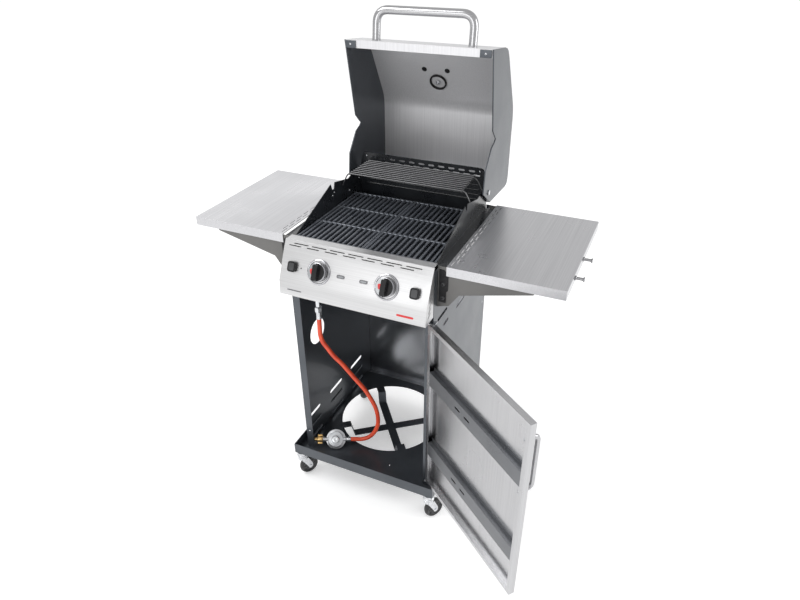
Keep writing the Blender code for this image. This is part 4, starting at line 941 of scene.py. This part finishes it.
RING = [
    (0.0316, 0.0036), (0.0322, 0.0047), (0.0336, 0.0050), (0.0356, 0.0040), (0.0368, 0.0020),
    (0.0370, 0.0003), (0.0316, 0.0003),
]
SKIRT = [
    (STEM_BORE, KNOB_FACE), (0.0250, KNOB_FACE), (0.0264, 0.0150), (0.0272, 0.0120), (0.0275, 0.0060),
    (0.0272, 0.0046), (STEM_BORE, 0.0046),
]
GRIP_WIDTH, GRIP_LENGTH, GRIP_ASIDE, GRIP_FOOT, GRIP_TOP = 0.0148, 0.0450, 0.0026, 0.0215, 0.0338
grip = [(u + GRIP_ASIDE, v) for u, v in rounded_rectangle(GRIP_WIDTH, GRIP_LENGTH, 0.0050)]
DROP_HALF_WIDTH, DROP_HALF_LENGTH, DROP_ASIDE, DROP_HEIGHT = 0.0050, 0.0082, 0.0130, 0.0003
drop = []
for k in range(24):
    t = 2 * math.pi * k / 24
    u = DROP_HALF_WIDTH * math.sin(t) * (1 - 0.42 * math.cos(t))
    drop.append((u - DROP_ASIDE, -DROP_HALF_LENGTH * math.cos(t)))
silver_half = [half_disc(KNOB_FACE_RADIUS, -1, HALVES_GAP)]
black_half = [half_disc(KNOB_FACE_RADIUS, 1, -HALVES_GAP)]
for side, sign in SIDES:
    seat = on_slope(PANEL_BEND, FACE_UP, sign * KNOB_X, KNOB_UP)
    body = f"knob_{side}"
    ring = lathe_mesh(f"knob_ring_{side}", RING, 72)
    place_piece(f"knob_ring_{side}", ring, *CHROME, "cart", f"knob_bezel_{side}", seat=seat)
    skirt = lathe_mesh(f"knob_skirt_{side}", SKIRT, 72)
    place_piece(f"knob_skirt_{side}", skirt, *CHROME, body, f"knob_{side}", seat=seat)
    slab(f"knob_silver_half_{side}", silver_half, KNOB_FACE, SILVER_TOP, SILVER, body, seat, 0.0009)
    slab(f"knob_black_half_{side}", black_half, KNOB_FACE, BLACK_TOP, PLASTIC, body, seat, 0.0016)
    slab(f"knob_grip_{side}", [grip], GRIP_FOOT, GRIP_TOP, PLASTIC, body, seat, 0.0024)
    drop_top = SILVER_TOP + DROP_HEIGHT
    slab(f"knob_drop_{side}", [drop], SILVER_TOP, drop_top, RED_MARK, body, seat, 0.0001)
    dress(frame["nodes"][f"valve_stem_{side}"], raw_brass, "brass")
BUTTON_FOOT, BUTTON_TOP, PAD_FOOT, PAD_TOP = 0.0036, 0.0100, 0.0098, 0.0114
button_cap, button_pad = rounded_rectangle(0.0262, 0.0302, 0.0070), rounded_rectangle(0.0176, 0.0212, 0.0045)
for body, x in (("igniter_button", -BUTTON_X), ("light_button", BUTTON_X)):
    seat = on_slope(PANEL_BEND, FACE_UP, x, KNOB_UP)
    slab(f"{body}_cap", [button_cap], BUTTON_FOOT, BUTTON_TOP, PLASTIC, body, seat, 0.0018, body)
    slab(f"{body}_pad", [button_pad], PAD_FOOT, PAD_TOP, SOFT_BLACK, body, seat, 0.0010)

# ------------------------------------------------------------------ lid
# A bent stainless skin between two graphite side castings, swung open on two bolts. Its front lip
# ends in a dark corner casting on each side, and a tube handle and a dial stand on its outside.
PIVOT = Vector((0, 0.2227, 0.9658))
LID_HALF, LID_SIDE, LID_GAP, SKIN_THICKNESS = 0.2313, 0.004, 0.0003, 0.002
lid_seat = Matrix.Translation(PIVOT) @ turned(-90, "X")
LID_FRONT_LOW, LID_FRONT_HIGH, LID_TOP = (-0.203, 0.9266), (-0.187, 1.0750), (0.021, 1.1890)
LID_REAR_HIGH, LID_REAR_LOW = (0.273, 1.1880), (0.265, 0.9900)


def from_pivot(y, z):
    """A place on the closed lid, from its hinge bolts."""
    return Vector((y - PIVOT.y, z - PIVOT.z))


def rounded(path, radius, steps):
    """A path with each inner corner turned into a short curve."""
    path = [Vector(p) for p in path]
    result = [path[0]]
    for before, corner, after in zip(path, path[1:], path[2:]):
        reach = min(radius, (before - corner).length * 0.45, (after - corner).length * 0.45)
        start = corner + (before - corner).normalized() * reach
        end = corner + (after - corner).normalized() * reach
        for k in range(steps + 1):
            t = k / steps
            result.append(start * (1 - t) ** 2 + corner * 2 * t * (1 - t) + end * t**2)
    return [*result, path[-1]]


def folded_band(path, thickness):
    """The outline of folded sheet whose outer face follows the path, thickened to its right."""
    moved = []
    for index, point in enumerate(path):
        before = (point - path[max(index - 1, 0)]).normalized()
        after = (path[min(index + 1, len(path) - 1)] - point).normalized()
        before = before if before.length else after
        after = after if after.length else before
        middle = (before + after).normalized()
        moved.append(point - Vector((-middle.y, middle.x)) * thickness / max(middle.dot(after), 0.3))
    return [*path, *moved[::-1]]


lid_corners = [from_pivot(*p) for p in (LID_FRONT_LOW, LID_FRONT_HIGH, LID_TOP, LID_REAR_HIGH, LID_REAR_LOW)]
LIP_WIDTH, LID_CORNER_RADIUS = 0.0225, 0.030
lip_end = from_pivot(LID_FRONT_LOW[0] + LIP_WIDTH, LID_FRONT_LOW[1])
lid_outline = [lip_end, *rounded(lid_corners, LID_CORNER_RADIUS, 12)]
skin_width = 2 * (LID_HALF - LID_SIDE - LID_GAP)
front_rise = (lid_corners[1] - lid_corners[0]).normalized()
top_rise = (lid_corners[2] - lid_corners[1]).normalized()


def on_lid(x, corner, rise, along, out=0.0):
    """A seat on a face of the lid: local Y runs along it, and local Z straight out of it."""
    corner, rise = Vector((0, *corner)), Vector((0, *rise))
    return lid_seat @ on_slope(corner, rise, x, along, out)


def circle(radius, steps):
    """A round outline about its middle."""
    turns = [2 * math.pi * k / steps for k in range(steps)]
    return [(radius * math.cos(turn), radius * math.sin(turn)) for turn in turns]


DIAL_X, DIAL_ALONG, DIAL_HOLE_RADIUS = -0.012, 0.150, 0.0065
dial_seat = on_lid(DIAL_X, lid_corners[1], top_rise, DIAL_ALONG)
# The lid steel holds painted light: its colour is raised and its metal lowered so the shaded inside of the
# lid looks lit.
lid_steel_painted_light = stainless(
    "lid_steel_painted_light", ALONG_X, (0.62, 0.62, 0.635), (0.70, 0.70, 0.715), 0.36, spread=0.08, metal=0.40
)
skin_mesh = flat_mesh("lid_shell", [folded_band(lid_outline, SKIN_THICKNESS)], skin_width)
skin_mesh.shade_smooth()
lid_shell = place_piece(
    "lid_shell", skin_mesh, lid_steel_painted_light, "stainless", "lid", "lid_skin", seat=lid_seat @ upright
)
dial_hole = flat_mesh("punch", [circle(DIAL_HOLE_RADIUS, 24)], 0.012)
worked(lid_shell, edge=0.0004, cuts=[(dial_hole, dial_seat)])
LIP_CORNER, LIP_CORNER_X, LIP_CORNER_BACK = (0.034, 0.0030, 0.0205), 0.2095, 0.0118
LIP_CORNER_DROP, LIP_SCREW_DROP = 0.0020, 0.0036
lip_screws = []
for side, sign in SIDES:
    refined(f"lid_side_{side}", GRAPHITE, "lid", edge=0.0012)
    x, y = sign * LIP_CORNER_X, lid_corners[0].x + LIP_CORNER_BACK
    corner_place = Matrix.Translation((x, y, lid_corners[0].y - LIP_CORNER_DROP))
    place_piece(
        f"lip_corner_{side}", small_block(f"lip_corner_{side}", LIP_CORNER, 0.0008), *GRAPHITE, "lid",
        seat=lid_seat @ corner_place @ turned(90, "X"),
    )
    dress(frame["nodes"][f"lid_pin_{side}"], *ZINC)
    screw_place = lid_seat @ Vector((x, y, lid_corners[0].y - LIP_SCREW_DROP))
    lip_screws.append((screw_place, lid_seat.to_3x3() @ Vector((0, 0, -1))))
screws("lid_lip_screws", lip_screws, "lid", ZINC, radius=0.0034)
HANDLE_SPREAD, HANDLE_REACH, HANDLE_RADIUS = 0.152, 0.084, 0.0125
HANDLE_UP, HANDLE_GAP, HANDLE_BEND = 0.056, 0.0003, 0.050
handle_out = Vector((-front_rise.y, front_rise.x))
handle_foot = lid_corners[0] + front_rise * HANDLE_UP + handle_out * HANDLE_GAP
handle_tip = handle_foot + handle_out * HANDLE_REACH
handle_path = rounded([
    Vector((-HANDLE_SPREAD, *handle_foot)), Vector((-HANDLE_SPREAD, *handle_tip)),
    Vector((HANDLE_SPREAD, *handle_tip)), Vector((HANDLE_SPREAD, *handle_foot)),
], HANDLE_BEND, 16)
handle_steel = stainless("handle_steel", ALONG_X, (0.38, 0.38, 0.39), (0.47, 0.47, 0.48), 0.20)
place_piece(
    "lid_handle_tube", tube_curve("lid_handle_tube", handle_path, HANDLE_RADIUS, 10),
    handle_steel, "stainless", "lid", "lid_handle", seat=lid_seat,
)
DIAL_CASE = [
    (0, 0.0100), (0.0290, 0.0100), (0.0298, 0.0134), (0.0312, 0.0140), (0.0326, 0.0130), (0.0330, 0.0110),
    (0.0330, 0.0010), (0.0050, 0.0006), (0.0050, -0.0060), (0, -0.0060),
]
place_piece(
    "dial_case", lathe_mesh("dial_case", DIAL_CASE, 72), *CHROME, "lid", "thermometer", seat=dial_seat
)
dial_white = lively("dial_white", (0.74, 0.74, 0.73), (0.80, 0.80, 0.79), 0.45, 0, 900, 20, 0.02)
DIAL_FACE_RADIUS, DIAL_FACE_LOW, DIAL_FACE_HIGH = 0.0286, 0.0101, 0.0105
dial_disc = [circle(DIAL_FACE_RADIUS, 48)]
slab("dial_face", dial_disc, DIAL_FACE_LOW, DIAL_FACE_HIGH, (dial_white, "chrome"), "lid", dial_seat, 0.0001)
TICK_COUNT, TICK_FIRST, TICK_STEP, TICK_RING, TICK_HEIGHT = 21, -135, 13.5, 0.0238, 0.0106
LONG_TICK, SHORT_TICK, NEEDLE = (0.0008, 0.0046, 0.0003), (0.0005, 0.0026, 0.0003), (0.0012, 0.0240, 0.0005)
NEEDLE_TURN, NEEDLE_MIDDLE, NEEDLE_HEIGHT = 118, 0.0090, 0.0112
ticks = []
for k in range(TICK_COUNT):
    size = SHORT_TICK if k % 5 else LONG_TICK
    seat = turned(TICK_FIRST + TICK_STEP * k, "Z") @ Matrix.Translation((0, TICK_RING, TICK_HEIGHT))
    ticks.append((small_block(f"tick_{k}", size, 0.0001), seat))
needle_seat = turned(NEEDLE_TURN, "Z") @ Matrix.Translation((0, NEEDLE_MIDDLE, NEEDLE_HEIGHT))
ticks.append((small_block("needle", NEEDLE, 0.0002), needle_seat))
place_piece("dial_ticks", joined_mesh("dial_ticks", ticks), *PLASTIC, "lid", seat=dial_seat)
# Inside the lid, a plastic cup and a nut hold the dial's stem between two plugged holes.
STEM_CUP = [
    (0.0232, -0.0023), (0.0290, -0.0023), (0.0290, -0.0070), (0.0280, -0.0086), (0.0252, -0.0086),
    (0.0240, -0.0076), (0.0232, -0.0040),
]
place_piece("dial_stem_cup", lathe_mesh("dial_stem_cup", STEM_CUP), *PLASTIC, "lid", seat=dial_seat)
LID_PLUG = [(0, -0.0021), (0.0085, -0.0021), (0.0085, -0.0030), (0.0072, -0.0036), (0, -0.0030)]
PLUG_ALONG = DIAL_ALONG - 0.046
for name, x in (("left", -0.041), ("right", 0.037)):
    plug_seat = on_lid(DIAL_X + x, lid_corners[1], top_rise, PLUG_ALONG)
    place_piece(f"lid_plug_{name}", lathe_mesh(f"lid_plug_{name}", LID_PLUG), *PLASTIC, "lid", seat=plug_seat)
STEM_NUT = [
    (0.0026, -0.0044), (0.0076, -0.0046), (0.0082, -0.0056), (0.0082, -0.0086), (0.0074, -0.0094),
    (0.0026, -0.0094),
]
STEM_ROD = [(0, -0.0060), (0.0024, -0.0060), (0.0024, -0.0130), (0.0014, -0.0136), (0, -0.0136)]
stem_parts = [
    (lathe_mesh("stem_nut", STEM_NUT, 6), UNMOVED), (lathe_mesh("stem_rod", STEM_ROD, 20), UNMOVED),
]
place_piece("dial_stem", joined_mesh("dial_stem", stem_parts), *ZINC, "lid", seat=dial_seat)

# ------------------------------------------------------------------ door
# A pan of brushed steel with returned lips, hung on two pins and standing wide open. Two channels
# stiffen its inside, each with a pair of small slots, and a bow handle is fixed to its outside.
DOOR_HALF, DOOR_OPEN = 0.009, 141.6
door_joint = next(j for j in frame["joints"] if j["name"] == "door_hinge")
door_pivot = Vector((door_joint["pos_m"][0], door_joint["pos_m"][1], 0)) - cart_origin
door_seat = Matrix.Translation(door_pivot) @ turned(DOOR_OPEN, "Z")
door_steel = stainless(
    "door_steel", ALONG_Z, (0.44, 0.44, 0.45), (0.52, 0.52, 0.53), 0.24, turn=(0, 0, -math.radians(DOOR_OPEN))
)
# The channels' dark grey is painted shade: far darker than galvanised sheet, for the shadow on the channels
# inside the open door.
channel_painted_shade = lively("channel_painted_shade", (0.13, 0.135, 0.145), (0.17, 0.175, 0.185), 0.32, 0.8, 700, 6, 0.05)
refined("door_panel", (door_steel, "stainless"), "door", edge=0.0006)
CHANNEL_SLOT_XS, CHANNEL_SLOT_LENGTH, CHANNEL_SLOT_WIDTH = (-0.205, -0.159), 0.026, 0.0060
channel_seat = door_seat @ turned(90, "X") @ Matrix.Translation((0, 0, -DOOR_HALF))
for level, middle in (("upper", 0.572), ("lower", 0.302)):
    pair = [long_hole(x, middle, CHANNEL_SLOT_LENGTH, CHANNEL_SLOT_WIDTH) for x in CHANNEL_SLOT_XS]
    channel_cuts = [(flat_mesh("channel_slots", pair, 0.012), channel_seat)]
    refined(f"door_channel_{level}", (channel_painted_shade, "galvanised"), "door", edge=0.0004, cuts=channel_cuts)
BOW_X, BOW_HIGH, BOW_LOW, BOW_REACH = -0.422, 0.6765, 0.5065, 0.036
BOW_BEND, BOW_RADIUS, BOW_GAP, BOLT_IN = 0.022, 0.0062, 0.0006, 0.0016
inwards = door_seat.to_3x3() @ Vector((0, 1, 0))
bolts = [(door_seat @ Vector((BOW_X, BOLT_IN - DOOR_HALF, z)), inwards) for z in (BOW_HIGH, BOW_LOW)]
screws("door_handle_screws", bolts, "door", ZINC, radius=0.0050)
bow_face = -DOOR_HALF - BOW_GAP
bow = rounded([
    Vector((BOW_X, bow_face, BOW_HIGH)), Vector((BOW_X, bow_face - BOW_REACH, BOW_HIGH)),
    Vector((BOW_X, bow_face - BOW_REACH, BOW_LOW)), Vector((BOW_X, bow_face, BOW_LOW)),
], BOW_BEND, 12)
place_piece(
    "door_bow", tube_curve("door_bow", bow, BOW_RADIUS, 8), handle_steel, "stainless", "door", "door_handle",
    seat=door_seat,
)
